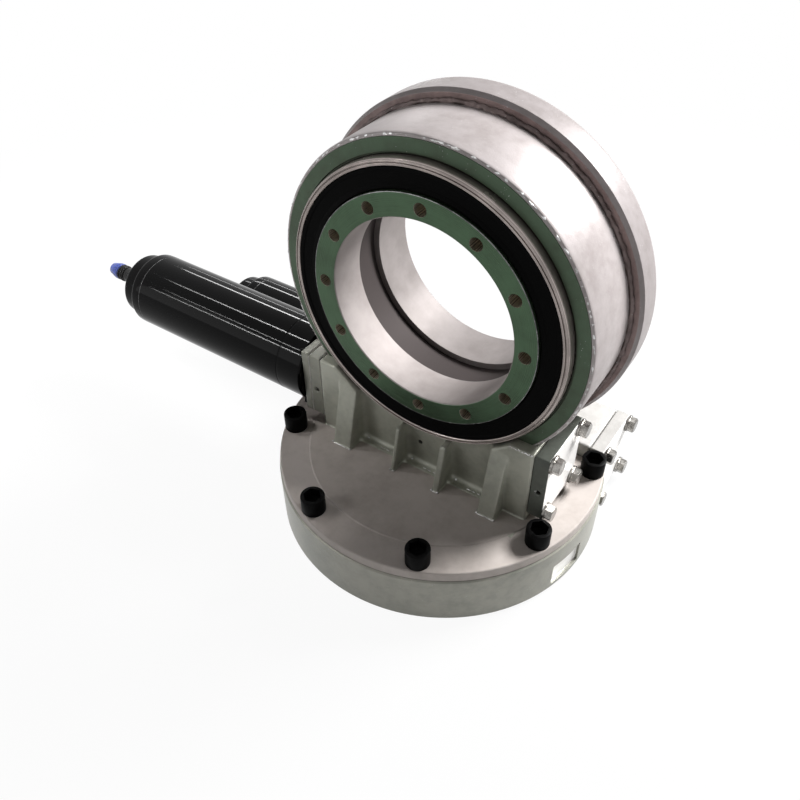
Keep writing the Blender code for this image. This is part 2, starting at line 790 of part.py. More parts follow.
def build_upper_casting(elevation_place):
    """Flange, ribbed worm housing and drum in one casting."""
    casting = turned_solid(
        "upper_casting",
        [
            (PAD_RADIUS - PAD_HEIGHT, PAD_TOP_Z),
            (PAD_RADIUS, FLANGE_TOP_Z),
            (FLANGE_RADIUS - FLANGE_CHAMFER, FLANGE_TOP_Z),
            (FLANGE_RADIUS, FLANGE_TOP_Z - FLANGE_CHAMFER),
            (FLANGE_RADIUS, PARTING_Z),
        ],
        Matrix.Identity(4),
    )
    cut(
        casting,
        box(
            "base_block_clearance",
            (-LOWER_DRUM_RADIUS, FLANGE_REAR_Y, PARTING_Z - CUT_OVERRUN),
            (LOWER_DRUM_RADIUS, LOWER_DRUM_RADIUS, PAD_TOP_Z + CUT_OVERRUN),
        ),
    )
    drum = turned_solid(
        "drum_body",
        [
            (DRUM_RADIUS, DRUM_REAR_Y),
            (DRUM_RADIUS, DRUM_FACE_Y + DRUM_FACE_CHAMFER),
            (DRUM_RADIUS - DRUM_FACE_CHAMFER, DRUM_FACE_Y),
        ],
        elevation_place @ Matrix.Rotation(math.pi / RING_SEGMENTS, 4, "Z"),
    )
    block = box(
        "worm_block",
        (BLOCK_LEFT_X, ELEVATION_WORM_Y - BLOCK_HALF_WIDTH, FLANGE_TOP_Z - BLOCK_EDGE),
        (BLOCK_RIGHT_X, ELEVATION_WORM_Y + BLOCK_HALF_WIDTH, BLOCK_TOP_Z),
    )
    bays = (
        (LEFT_POST_X[1], LEFT_RIB_X[0]),
        (LEFT_RIB_X[1], RIGHT_RIB_X[0]),
        (RIGHT_RIB_X[1], RIGHT_POST_X[0]),
    )
    sides = (("front", -1, POST_FOOT_REACH), ("rear", 1, REAR_FOOT_REACH))
    for label, side, _ in sides:
        cut(block, *(bay_cutter(f"{label}_bay_{i + 1}", x, side) for i, x in enumerate(bays)))
    join(casting, block)
    for label, side, reach in sides:
        for part, x_range in (
            ("left_post", LEFT_POST_X),
            ("left_rib", LEFT_RIB_X),
            ("right_rib", RIGHT_RIB_X),
            ("right_post", RIGHT_POST_X),
        ):
            join(casting, leaning_wedge(f"{label}_{part}", x_range, reach, side))
    join(casting, drum)
    inside = turned_solid(
        "drum_inside",
        [
            (RACE_SEAT_RADIUS, DRUM_REAR_Y + CUT_OVERRUN),
            (RACE_SEAT_RADIUS, RACE_FRONT_Y - SEAT_GAP),
            (CAVITY_RADIUS, RACE_FRONT_Y - SEAT_GAP),
            (CAVITY_RADIUS, DRUM_FACE_Y + LIP_SEAT_DEPTH + SEAT_GAP),
            (LIP_SEAT_RADIUS, DRUM_FACE_Y + LIP_SEAT_DEPTH + SEAT_GAP),
            (LIP_SEAT_RADIUS, DRUM_FACE_Y + LIP_GROOVE_DEPTH),
            (LIP_GROOVE_RADIUS, DRUM_FACE_Y + LIP_GROOVE_DEPTH),
            (LIP_GROOVE_RADIUS, ELEVATION_WORM_Y - POST_FOOT_REACH - CUT_OVERRUN),
        ],
        elevation_place,
    )
    worm_place = Matrix.Translation((0, ELEVATION_WORM_Y, ELEVATION_WORM_Z)) @ TURN_TO_X
    web_front = ELEVATION_WORM_Y - WEB_HALF_WIDTH
    port_place = Matrix.Translation((WEB_PORT_X, web_front, WEB_PORT_Z)) @ TURN_TO_Y
    cut(
        casting,
        inside,
        tunnel_cutter("elevation_tunnel", BLOCK_LEFT_X, BLOCK_RIGHT_X, worm_place),
        rod("web_port", PORT_RADIUS, -CUT_OVERRUN, PORT_DEPTH, port_place),
        *tapped_cover_holes("elevation", BLOCK_RIGHT_X, worm_place),
        *flange_bolt_holes("flange"),
    )
    finished(casting, cast_silver)


def build_lower_drum():
    """The lower drum with its step bore and the base worm's block behind."""
    cavity = AZIMUTH_PITCH_RADIUS + ADDENDUM_SHARE * MODULE + LOWER_CAVITY_CLEARANCE
    land_radius = BASE_LAND_RADIUS + LAND_SPACE
    row_radius = BASE_LAND_RADIUS + BALL_ROW_OFFSET
    seal_seat = BASE_FLANGE_RADIUS + RUNNING_GAP + LOWER_SEAL_WIDTH + SEAT_GAP
    ledge = BASE_FLANGE_HEIGHT + RUNNING_GAP + RUNNING_GAP
    top = PARTING_Z - SEAT_GAP
    arc = groove_arc(row_radius, BASE_BALL_Z, land_radius)
    drum = turned(
        "lower_drum",
        [
            (LOWER_DRUM_RADIUS - LOWER_DRUM_CHAMFER, top),
            (LOWER_DRUM_RADIUS, top - LOWER_DRUM_CHAMFER),
            (LOWER_DRUM_RADIUS, LOWER_DRUM_BOTTOM_Z + LOWER_DRUM_CHAMFER),
            (LOWER_DRUM_RADIUS - LOWER_DRUM_CHAMFER, LOWER_DRUM_BOTTOM_Z),
            (seal_seat, LOWER_DRUM_BOTTOM_Z),
            (seal_seat, ledge),
            (land_radius, ledge),
            *reversed(arc),
            (land_radius, BASE_LAND_TOP_Z),
            (cavity, BASE_LAND_TOP_Z),
            (cavity, top),
        ],
        Matrix.Identity(4),
    )
    block_top = AZIMUTH_WORM_Z + PLATE_HALF_HEIGHT
    block = box(
        "base_block",
        (
            -BASE_BLOCK_HALF_LENGTH - CUT_OVERRUN,
            AZIMUTH_WORM_Y - BASE_BLOCK_HALF_WIDTH,
            AZIMUTH_WORM_Z - PLATE_HALF_HEIGHT,
        ),
        (
            BASE_BLOCK_HALF_LENGTH + CUT_OVERRUN,
            AZIMUTH_WORM_Y + BASE_BLOCK_HALF_WIDTH,
            block_top,
        ),
        BLOCK_EDGE,
        2,
    )
    step_z = BASE_LAND_TOP_Z - CAVITY_RELIEF
    relief = turned_solid(
        "block_cavity",
        [
            (cavity + CAVITY_RELIEF, top - CAVITY_RELIEF),
            (cavity + CAVITY_RELIEF, step_z),
            (seal_seat + CAVITY_RELIEF, step_z),
            (seal_seat + CAVITY_RELIEF, -CUT_OVERRUN),
        ],
        Matrix.Identity(4),
    )
    cut(block, relief)
    rim = turned_solid(
        "rear_rim",
        [
            (REAR_RIM_RADIUS - FLANGE_CHAMFER, FLANGE_TOP_Z),
            (REAR_RIM_RADIUS, FLANGE_TOP_Z - FLANGE_CHAMFER),
            (REAR_RIM_RADIUS, top - BLOCK_EDGE),
        ],
        Matrix.Identity(4),
    )
    cut(
        rim,
        box(
            "rear_rim_trim",
            (-LOWER_DRUM_RADIUS, -LOWER_DRUM_RADIUS, top - CUT_OVERRUN),
            (LOWER_DRUM_RADIUS, AZIMUTH_WORM_Y, FLANGE_TOP_Z + CUT_OVERRUN),
        ),
    )
    join(drum, block, rim)
    worm_place = Matrix.Translation((0, AZIMUTH_WORM_Y, AZIMUTH_WORM_Z)) @ TURN_TO_X
    notches = [
        box(
            f"cover_notch_{label}",
            (
                min(side * BASE_BLOCK_HALF_LENGTH, side * 2 * LOWER_DRUM_RADIUS),
                NOTCH_FRONT_Y,
                -PARTING_Z,
            ),
            (
                max(side * BASE_BLOCK_HALF_LENGTH, side * 2 * LOWER_DRUM_RADIUS),
                2 * LOWER_DRUM_RADIUS,
                2 * block_top,
            ),
        )
        for label, side in (("left", -1), ("right", 1))
    ]
    pocket = box(
        "side_pocket",
        (-SIDE_POCKET_DEPTH, -SIDE_POCKET_WIDTH / 2, SIDE_POCKET_BOTTOM_Z),
        (SIDE_POCKET_DEPTH, SIDE_POCKET_WIDTH / 2, SIDE_POCKET_BOTTOM_Z + SIDE_POCKET_HEIGHT),
    )
    pocket.matrix_world = (
        Matrix.Rotation(SIDE_POCKET_ANGLE, 4, "Z")
        @ Matrix.Translation((LOWER_DRUM_RADIUS, 0, 0))
        @ pocket.matrix_world
    )
    cut(
        drum,
        *notches,
        tunnel_cutter(
            "azimuth_tunnel", -BASE_BLOCK_HALF_LENGTH, BASE_BLOCK_HALF_LENGTH, worm_place
        ),
        *tapped_cover_holes("azimuth", BASE_BLOCK_HALF_LENGTH, worm_place),
        *flange_bolt_holes("drum"),
        pocket,
    )
    finished(drum, cast_silver)
    seal_outer = seal_seat - SEAT_GAP
    seal_inner = BASE_FLANGE_RADIUS + RUNNING_GAP
    seal_top = LOWER_DRUM_BOTTOM_Z + LOWER_SEAL_HEIGHT
    seal = turned(
        "azimuth_seal",
        plain_ring(seal_outer, seal_inner, LOWER_DRUM_BOTTOM_Z, seal_top),
        Matrix.Identity(4),
    )
    finished(seal, black_rubber)
    ball_row("azimuth_ball_row", row_radius, BASE_BALL_Z, Matrix.Identity(4))


def build_azimuth_ring():
    """The lying geared ring that stands on the ground mount."""
    row_radius = BASE_LAND_RADIUS + BALL_ROW_OFFSET
    blank_radius = AZIMUTH_PITCH_RADIUS - DEDENDUM_SHARE * MODULE - BLANK_DEPTH
    gear_low = AZIMUTH_WORM_Z - AZIMUTH_GEAR_WIDTH / 2
    gear_high = AZIMUTH_WORM_Z + AZIMUTH_GEAR_WIDTH / 2
    ring = turned(
        "azimuth_ring",
        [
            (blank_radius, gear_high - BASE_BLANK_TOP_GAP),
            (blank_radius, gear_low + UNION_OVERLAP),
            (blank_radius, BASE_LAND_TOP_Z),
            (BASE_LAND_RADIUS, BASE_LAND_TOP_Z),
            *groove_arc(row_radius, BASE_BALL_Z, BASE_LAND_RADIUS),
            (BASE_LAND_RADIUS, BASE_FLANGE_HEIGHT),
            (BASE_FLANGE_RADIUS, BASE_FLANGE_HEIGHT),
            (BASE_FLANGE_RADIUS, RING_EDGE_CHAMFER),
            (BASE_FLANGE_RADIUS - RING_EDGE_CHAMFER, 0),
            (BASE_BORE_RADIUS + RING_EDGE_CHAMFER, 0),
            (BASE_BORE_RADIUS, RING_EDGE_CHAMFER),
            (BASE_BORE_RADIUS, gear_high - BASE_BLANK_TOP_GAP),
        ],
        Matrix.Identity(4),
    )
    teeth = toothed_disc(
        "azimuth_teeth", AZIMUTH_TEETH, AZIMUTH_GEAR_WIDTH, AZIMUTH_WORM_Z, Matrix.Identity(4)
    )
    cut(
        teeth,
        rod(
            "azimuth_teeth_core",
            (BASE_BORE_RADIUS + blank_radius) / 2,
            gear_low - CUT_OVERRUN,
            gear_high + CUT_OVERRUN,
            Matrix.Identity(4),
            RING_SEGMENTS,
        ),
    )
    join(ring, teeth)
    holes = hole_circle(
        "base_hole",
        BASE_HOLE_RADIUS,
        BASE_HOLE_CIRCLE_RADIUS,
        -CUT_OVERRUN,
        BASE_HOLE_DEPTH,
        Matrix.Identity(4),
        SHANK_SEGMENTS,
    )
    cut(ring, *holes)
    finished(ring, machined_steel)


def build_flange_bolts():
    """Black socket-head bolts, each on its spring washer."""
    head_top = SPRING_WASHER_HEIGHT + FLANGE_BOLT_HEAD_HEIGHT
    stations = [
        (FLANGE_BOLT_HEAD_RADIUS - FLANGE_BOLT_EDGE, head_top),
        (FLANGE_BOLT_HEAD_RADIUS, head_top - FLANGE_BOLT_EDGE),
        (FLANGE_BOLT_HEAD_RADIUS, SEAT_GAP),
        (FLANGE_BOLT_SHANK_RADIUS, SEAT_GAP),
        (FLANGE_BOLT_SHANK_RADIUS, -FLANGE_BOLT_LENGTH),
    ]
    for i, spot in enumerate(flange_bolt_places()):
        place = spot @ Matrix.Translation((0, 0, FLANGE_TOP_Z))
        name = f"flange_bolt_{i + 1}"
        bolt = turned_solid(name, stations, place, BOLT_SEGMENTS)
        socket = rod(
            f"{name}_socket",
            FLANGE_BOLT_SOCKET_RADIUS,
            head_top - FLANGE_BOLT_SOCKET_DEPTH,
            head_top + CUT_OVERRUN,
            place,
            6,
        )
        cut(bolt, socket)
        finished(bolt, black_oxide)


def build_worm(prefix, left, right, contact_angle, place):
    """A worm with its bearing seats, and the motor shaft that enters its hollow end."""
    root_radius = WORM_PITCH_RADIUS - DEDENDUM_SHARE * MODULE
    seat_radius = BEARING_INNER_RADIUS - SEAT_GAP
    thread_half = LEAD * THREAD_TURNS / 2 + THREAD_RELIEF
    core_place = place @ Matrix.Rotation(math.pi / WORM_SEGMENTS, 4, "Z")
    right_seat = right - BEARING_END_GAP - BEARING_WIDTH - SEAT_GAP
    left_seat = left + BEARING_END_GAP + BEARING_WIDTH + SEAT_GAP
    worm = turned_solid(
        f"{prefix}_worm",
        [
            (seat_radius, right - BEARING_END_GAP),
            (seat_radius, right_seat),
            (SHAFT_SHOULDER_RADIUS, right_seat),
            (SHAFT_SHOULDER_RADIUS, right_seat - SHAFT_SHOULDER_WIDTH),
            (SHAFT_WAIST_RADIUS, right_seat - SHAFT_SHOULDER_WIDTH),
            (SHAFT_WAIST_RADIUS, thread_half + THREAD_RELIEF),
            (root_radius, thread_half),
            (root_radius, -thread_half),
            (SHAFT_WAIST_RADIUS, -thread_half - THREAD_RELIEF),
            (SHAFT_WAIST_RADIUS, left_seat + SHAFT_SHOULDER_WIDTH),
            (SHAFT_SHOULDER_RADIUS, left_seat + SHAFT_SHOULDER_WIDTH),
            (SHAFT_SHOULDER_RADIUS, left_seat),
            (seat_radius, left_seat),
            (seat_radius, left),
        ],
        core_place,
        WORM_SEGMENTS,
    )
    join(worm, worm_thread(f"{prefix}_thread", contact_angle, place))
    socket_end = left + SHAFT_SOCKET_DEPTH
    cut(
        worm,
        rod(
            f"{prefix}_shaft_socket",
            SHAFT_SOCKET_RADIUS,
            left - CUT_OVERRUN,
            socket_end,
            core_place,
            WORM_SEGMENTS,
        ),
    )
    finished(worm, machined_steel)
    plates = ADAPTOR_THICKNESS + MOTOR_PLATE_THICKNESS + 2 * SEAT_GAP
    motor_front = left - plates - SEAT_GAP
    shaft = rod(
        f"{prefix}_drive_shaft",
        SHAFT_SOCKET_RADIUS - SEAT_GAP,
        motor_front - MOTOR_SHAFT_BORE_DEPTH + DRIVE_SHAFT_END_GAP,
        socket_end - DRIVE_SHAFT_END_GAP,
        core_place,
        WORM_SEGMENTS,
    )
    finished(shaft, machined_steel)


def build_bearings(prefix, left, right, place):
    for label, low in (
        ("drive_end", left + BEARING_END_GAP),
        ("free_end", right - BEARING_END_GAP - BEARING_WIDTH),
    ):
        profile = plain_ring(
            BEARING_OUTER_RADIUS, BEARING_INNER_RADIUS, low, low + BEARING_WIDTH
        )
        name = f"{prefix}_bearing_{label}"
        finished(turned(name, profile, place, MOTOR_SEGMENTS), machined_steel)


def plate(name, low_x, high_x, centre_y, centre_z):
    return box(
        name,
        (low_x, centre_y - PLATE_HALF_WIDTH, centre_z - PLATE_HALF_HEIGHT),
        (high_x, centre_y + PLATE_HALF_WIDTH, centre_z + PLATE_HALF_HEIGHT),
        PLATE_EDGE,
    )


def side_port(name, x, centre_y, centre_z):
    """A small drilled port in the front edge of a plate."""
    front = centre_y - PLATE_HALF_WIDTH
    spot = Matrix.Translation((x, front, centre_z - PORT_SETBACK)) @ TURN_TO_Y
    return rod(name, PORT_RADIUS, -CUT_OVERRUN, PORT_DEPTH, spot)


def build_end_cover(prefix, right, centre_y, centre_z, place):
    face = right + SEAT_GAP
    cover = plate(f"{prefix}_end_cover", face, face + COVER_THICKNESS, centre_y, centre_z)
    spigot = rod(
        f"{prefix}_cover_spigot",
        BEARING_OUTER_RADIUS,
        right - COVER_SPIGOT_DEPTH,
        face + COVER_THICKNESS / 2,
        place,
        MOTOR_SEGMENTS,
    )
    join(cover, spigot)
    spots = cover_bolt_places(place)
    holes = [
        rod(
            f"{prefix}_cover_hole_{i + 1}",
            COVER_BOLT_SHANK_RADIUS + SEAT_GAP,
            face - CUT_OVERRUN,
            face + COVER_THICKNESS + CUT_OVERRUN,
            spot,
            SHANK_SEGMENTS,
        )
        for i, spot in enumerate(spots)
    ]
    middle_x = face + COVER_THICKNESS / 2
    cut(cover, side_port(f"{prefix}_cover_port", middle_x, centre_y, centre_z), *holes)
    finished(cover, cast_silver)
    build_cover_bolts(prefix, right, face + COVER_THICKNESS, spots)


def build_cover_bolts(prefix, right, outer_face, spots):
    """Zinc hex bolts through the cover into the housing."""
    washer_low = outer_face + SEAT_GAP
    washer_top = washer_low + COVER_BOLT_WASHER_HEIGHT
    for i, spot in enumerate(spots):
        name = f"{prefix}_cover_bolt_{i + 1}"
        bolt = turned_solid(
            name,
            [
                (COVER_BOLT_WASHER_RADIUS, washer_top),
                (COVER_BOLT_WASHER_RADIUS, washer_low),
                (COVER_BOLT_SHANK_RADIUS, washer_low),
                (COVER_BOLT_SHANK_RADIUS, right - COVER_BOLT_DEPTH),
            ],
            spot,
            SHANK_SEGMENTS,
        )
        head = rod(
            f"{name}_head",
            COVER_BOLT_HEAD_RADIUS,
            washer_top - UNION_OVERLAP,
            washer_top + COVER_BOLT_HEAD_HEIGHT,
            spot,
            6,
        )
        join(bolt, head)
        finished(bolt, zinc_plated)


def build_motor_plates(prefix, left, centre_y, centre_z, place):
    adaptor_face = left - SEAT_GAP
    adaptor_back = adaptor_face - ADAPTOR_THICKNESS
    adaptor = plate(f"{prefix}_adaptor_plate", adaptor_back, adaptor_face, centre_y, centre_z)
    bore = rod(
        f"{prefix}_adaptor_bore",
        ADAPTOR_BORE_RADIUS,
        adaptor_back - CUT_OVERRUN,
        adaptor_face + CUT_OVERRUN,
        place,
        MOTOR_SEGMENTS,
    )
    middle_x = adaptor_back + ADAPTOR_THICKNESS / 2
    port = side_port(f"{prefix}_adaptor_port", middle_x, centre_y, centre_z)
    cut(adaptor, bore, port)
    finished(adaptor, cast_silver)

    shaft_hole = SHAFT_SOCKET_RADIUS + RUNNING_GAP
    motor_plate_face = adaptor_back - SEAT_GAP
    motor_plate_back = motor_plate_face - MOTOR_PLATE_THICKNESS
    motor_plate = plate(
        f"{prefix}_motor_plate", motor_plate_back, motor_plate_face, centre_y, centre_z
    )
    cut(
        motor_plate,
        rod(
            f"{prefix}_motor_plate_bore",
            shaft_hole,
            motor_plate_back - CUT_OVERRUN,
            motor_plate_face + CUT_OVERRUN,
            place,
            WORM_SEGMENTS,
        ),
    )
    finished(motor_plate, cast_silver)
    seal = turned(
        f"{prefix}_shaft_seal",
        plain_ring(
            ADAPTOR_BORE_RADIUS - SEAT_GAP,
            shaft_hole,
            adaptor_face - SHAFT_SEAL_WIDTH,
            adaptor_face - SEAT_GAP,
        ),
        place,
        MOTOR_SEGMENTS,
    )
    finished(seal, black_rubber)
    return motor_plate_back - SEAT_GAP


def build_motor(prefix, front, length, place):
    """Gearmotor: black tube, end cap, smaller rear cap, gland and connector cap."""
    body_end = front - length
    bore_radius = SHAFT_SOCKET_RADIUS + RUNNING_GAP
    body = turned(
        f"{prefix}_motor_body",
        [
            (0, front - MOTOR_SHAFT_BORE_DEPTH),
            (bore_radius, front - MOTOR_SHAFT_BORE_DEPTH),
            (bore_radius, front),
            (MOTOR_RADIUS - MOTOR_EDGE, front),
            (MOTOR_RADIUS, front - MOTOR_EDGE),
            (MOTOR_RADIUS, body_end),
            (0, body_end),
        ],
        place,
        MOTOR_SEGMENTS,
        closed=False,
    )
    finished(body, black_gloss)

    cap_front = body_end - SEAT_GAP
    cap_end = cap_front - MOTOR_CAP_LENGTH
    cap = turned_solid(
        f"{prefix}_motor_end_cap",
        [
            (MOTOR_RADIUS, cap_front),
            (MOTOR_RADIUS, cap_end + MOTOR_CAP_ROUNDING),
            (MOTOR_RADIUS - MOTOR_CAP_ROUNDING, cap_end),
        ],
        place,
        MOTOR_SEGMENTS,
    )
    finished(cap, black_gloss)

    rear_front = cap_end - SEAT_GAP
    rear_end = rear_front - REAR_CAP_LENGTH
    rear = turned_solid(
        f"{prefix}_motor_rear_cap",
        [
            (REAR_CAP_RADIUS, rear_front),
            (REAR_CAP_RADIUS, rear_end + REAR_CAP_ROUNDING),
            (REAR_CAP_RADIUS - REAR_CAP_ROUNDING, rear_end),
        ],
        place,
        MOTOR_SEGMENTS,
    )
    finished(rear, black_gloss)

    gland_front = rear_end - SEAT_GAP
    gland_end = gland_front - GLAND_LENGTH
    collar = gland_front - GLAND_LENGTH * GLAND_COLLAR_SHARE
    gland = turned_solid(
        f"{prefix}_cable_gland",
        [
            (GLAND_RADIUS, gland_front),
            (GLAND_RADIUS, collar),
            (GLAND_COLLAR_RADIUS, collar),
            (GLAND_COLLAR_RADIUS, gland_end),
        ],
        place,
        BOLT_SEGMENTS,
    )
    finished(gland, black_rubber)

    connector_front = gland_end - SEAT_GAP
    connector_end = connector_front - CONNECTOR_LENGTH
    connector = turned_solid(
        f"{prefix}_connector_cap",
        [
            (CONNECTOR_RADIUS, connector_front),
            (CONNECTOR_RADIUS, connector_front - CONNECTOR_LENGTH / 2),
            (CONNECTOR_TIP_RADIUS, connector_end),
        ],
        place,
        BOLT_SEGMENTS,
    )
    finished(connector, blue_plastic)


def build_drive(prefix, left, right, centre_y, centre_z, contact_angle, motor_length):
    """One worm drive: worm, bearings, cover, plates and gearmotor on one axis."""
    place = Matrix.Translation((0, centre_y, centre_z)) @ TURN_TO_X
    build_worm(prefix, left, right, contact_angle, place)
    build_bearings(prefix, left, right, place)
    build_end_cover(prefix, right, centre_y, centre_z, place)
    motor_front = build_motor_plates(prefix, left, centre_y, centre_z, place)
    build_motor(prefix, motor_front, motor_length, place)


clear_scene()
PARTS = make_collection(COLLECTION_NAME)
CUTTERS = make_collection(CUTTER_COLLECTION_NAME)
ELEVATION_PLACE = Matrix.Translation((0, 0, ELEVATION_AXIS_Z)) @ TURN_TO_Y

build_azimuth_ring()
build_lower_drum()
build_upper_casting(ELEVATION_PLACE)
build_rear_shell(ELEVATION_PLACE)
build_lips_and_seals(ELEVATION_PLACE)
build_elevation_bearing(ELEVATION_PLACE)
build_elevation_ring(ELEVATION_PLACE)
build_flange_bolts()
build_drive(
    "elevation",
    BLOCK_LEFT_X,
    BLOCK_RIGHT_X,
    ELEVATION_WORM_Y,
    ELEVATION_WORM_Z,
    math.radians(180),
    ELEVATION_MOTOR_LENGTH,
)
build_drive(
    "azimuth",
    -BASE_BLOCK_HALF_LENGTH,
    BASE_BLOCK_HALF_LENGTH,
    AZIMUTH_WORM_Y,
    AZIMUTH_WORM_Z,
    math.radians(-90),
    AZIMUTH_MOTOR_LENGTH,
)
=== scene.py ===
"""Solar slew drive: an upright and a lying geared ring, each turned by its own worm and gearmotor.

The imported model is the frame. Each sub-assembly is a class with its sizes in metres.
"""
import logging
import math
from collections.abc import Callable
from dataclasses import dataclass
from enum import Enum

import bmesh
import bpy
from mathutils import Matrix, Vector, noise


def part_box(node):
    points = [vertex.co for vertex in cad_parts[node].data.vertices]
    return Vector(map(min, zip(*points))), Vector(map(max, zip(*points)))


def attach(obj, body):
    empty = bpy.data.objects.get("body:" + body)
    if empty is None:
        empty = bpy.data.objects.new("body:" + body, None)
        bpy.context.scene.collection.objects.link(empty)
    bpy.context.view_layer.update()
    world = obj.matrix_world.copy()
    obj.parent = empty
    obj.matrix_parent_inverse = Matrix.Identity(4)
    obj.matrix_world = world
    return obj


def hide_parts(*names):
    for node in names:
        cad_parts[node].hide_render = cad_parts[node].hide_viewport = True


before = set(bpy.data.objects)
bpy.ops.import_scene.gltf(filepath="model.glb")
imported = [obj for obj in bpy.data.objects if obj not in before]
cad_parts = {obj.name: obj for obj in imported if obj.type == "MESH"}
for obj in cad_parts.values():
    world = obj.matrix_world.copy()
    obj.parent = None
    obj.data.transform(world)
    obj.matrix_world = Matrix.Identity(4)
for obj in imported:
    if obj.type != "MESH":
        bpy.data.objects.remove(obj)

LOG = logging.getLogger("slew_drive")
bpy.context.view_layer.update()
Point = tuple[float, float, float]
Profile = list[tuple[float, float]]
Colour = tuple[float, float, float, float]
FaceTest = Callable[[bpy.types.MeshPolygon], bool]


class Body(str, Enum):
    """The moving bodies of the drive."""

    BASE = "base"
    HOUSING = "housing"
    RING = "elevation_ring"
    RING_WORM = "elevation_worm"
    BASE_WORM = "azimuth_worm"


class Slot(str, Enum):
    """The material slots that a piece can take its finish from."""

    CASTING = "silver_casting"
    RING_STEEL = "machined_ring_steel"
    WORM_STEEL = "worm_steel"
    BEARING_STEEL = "bearing_steel"
    LIP_STEEL = "bright_lip_steel"
    RUBBER = "black_rubber"
    OXIDE = "black_oxide_steel"
    ZINC = "zinc_plated_steel"
    PLASTIC = "black_plastic"
    CONNECTOR = "blue_plastic"
    ENAMEL = "black_enamel"


class Axis(Enum):
    """The ways that a turned piece's axis can point, as turns of local Z."""

    UP = Matrix.Identity(4)
    BACK = Matrix.Rotation(math.radians(-90), 4, "X")
    RIGHT = Matrix.Rotation(math.radians(90), 4, "Y")


RING_HEIGHT = 0.2625
RING_BORE = 0.0920
RING_RECESS = -0.0077
RING_PLACE = Matrix.Translation((0, 0, RING_HEIGHT)) @ Axis.BACK.value
LEVEL = Matrix.Identity(4)


# Materials


class Wire:
    """An output of a shader node that takes part in Python sums."""

    def __init__(self, graph: "Graph", socket: bpy.types.NodeSocket) -> None:
        """Args: graph: the nodes being made. socket: the node's output."""
        self.graph = graph
        self.socket = socket

    def worked(self, operation: str, first: "Wire | float", second: "Wire | float") -> "Wire":
        """Adds one Math node. Returns: its output."""
        return self.graph.node("ShaderNodeMath", {"operation": operation}, {0: first, 1: second})

    def __add__(self, other: "Wire | float") -> "Wire":
        """Sum."""
        return self.worked("ADD", self, other)

    def __radd__(self, other: "Wire | float") -> "Wire":
        """Sum with the number first."""
        return self.worked("ADD", other, self)

    def __sub__(self, other: "Wire | float") -> "Wire":
        """Difference."""
        return self.worked("SUBTRACT", self, other)

    def __rsub__(self, other: "Wire | float") -> "Wire":
        """Difference with the number first."""
        return self.worked("SUBTRACT", other, self)

    def __mul__(self, other: "Wire | float") -> "Wire":
        """Product."""
        return self.worked("MULTIPLY", self, other)

    def __rmul__(self, other: "Wire | float") -> "Wire":
        """Product with the number first."""
        return self.worked("MULTIPLY", other, self)

    def __pow__(self, other: "Wire | float") -> "Wire":
        """Power."""
        return self.worked("POWER", self, other)

    def between(self, low: float, high: float) -> "Wire":
        """A smooth step from 0 at low to 1 at high."""
        return self.graph.node(
            "ShaderNodeMapRange",
            {"interpolation_type": "SMOOTHSTEP", "clamp": True},
            {0: self, 1: low, 2: high, 3: 0.0, 4: 1.0},
        )


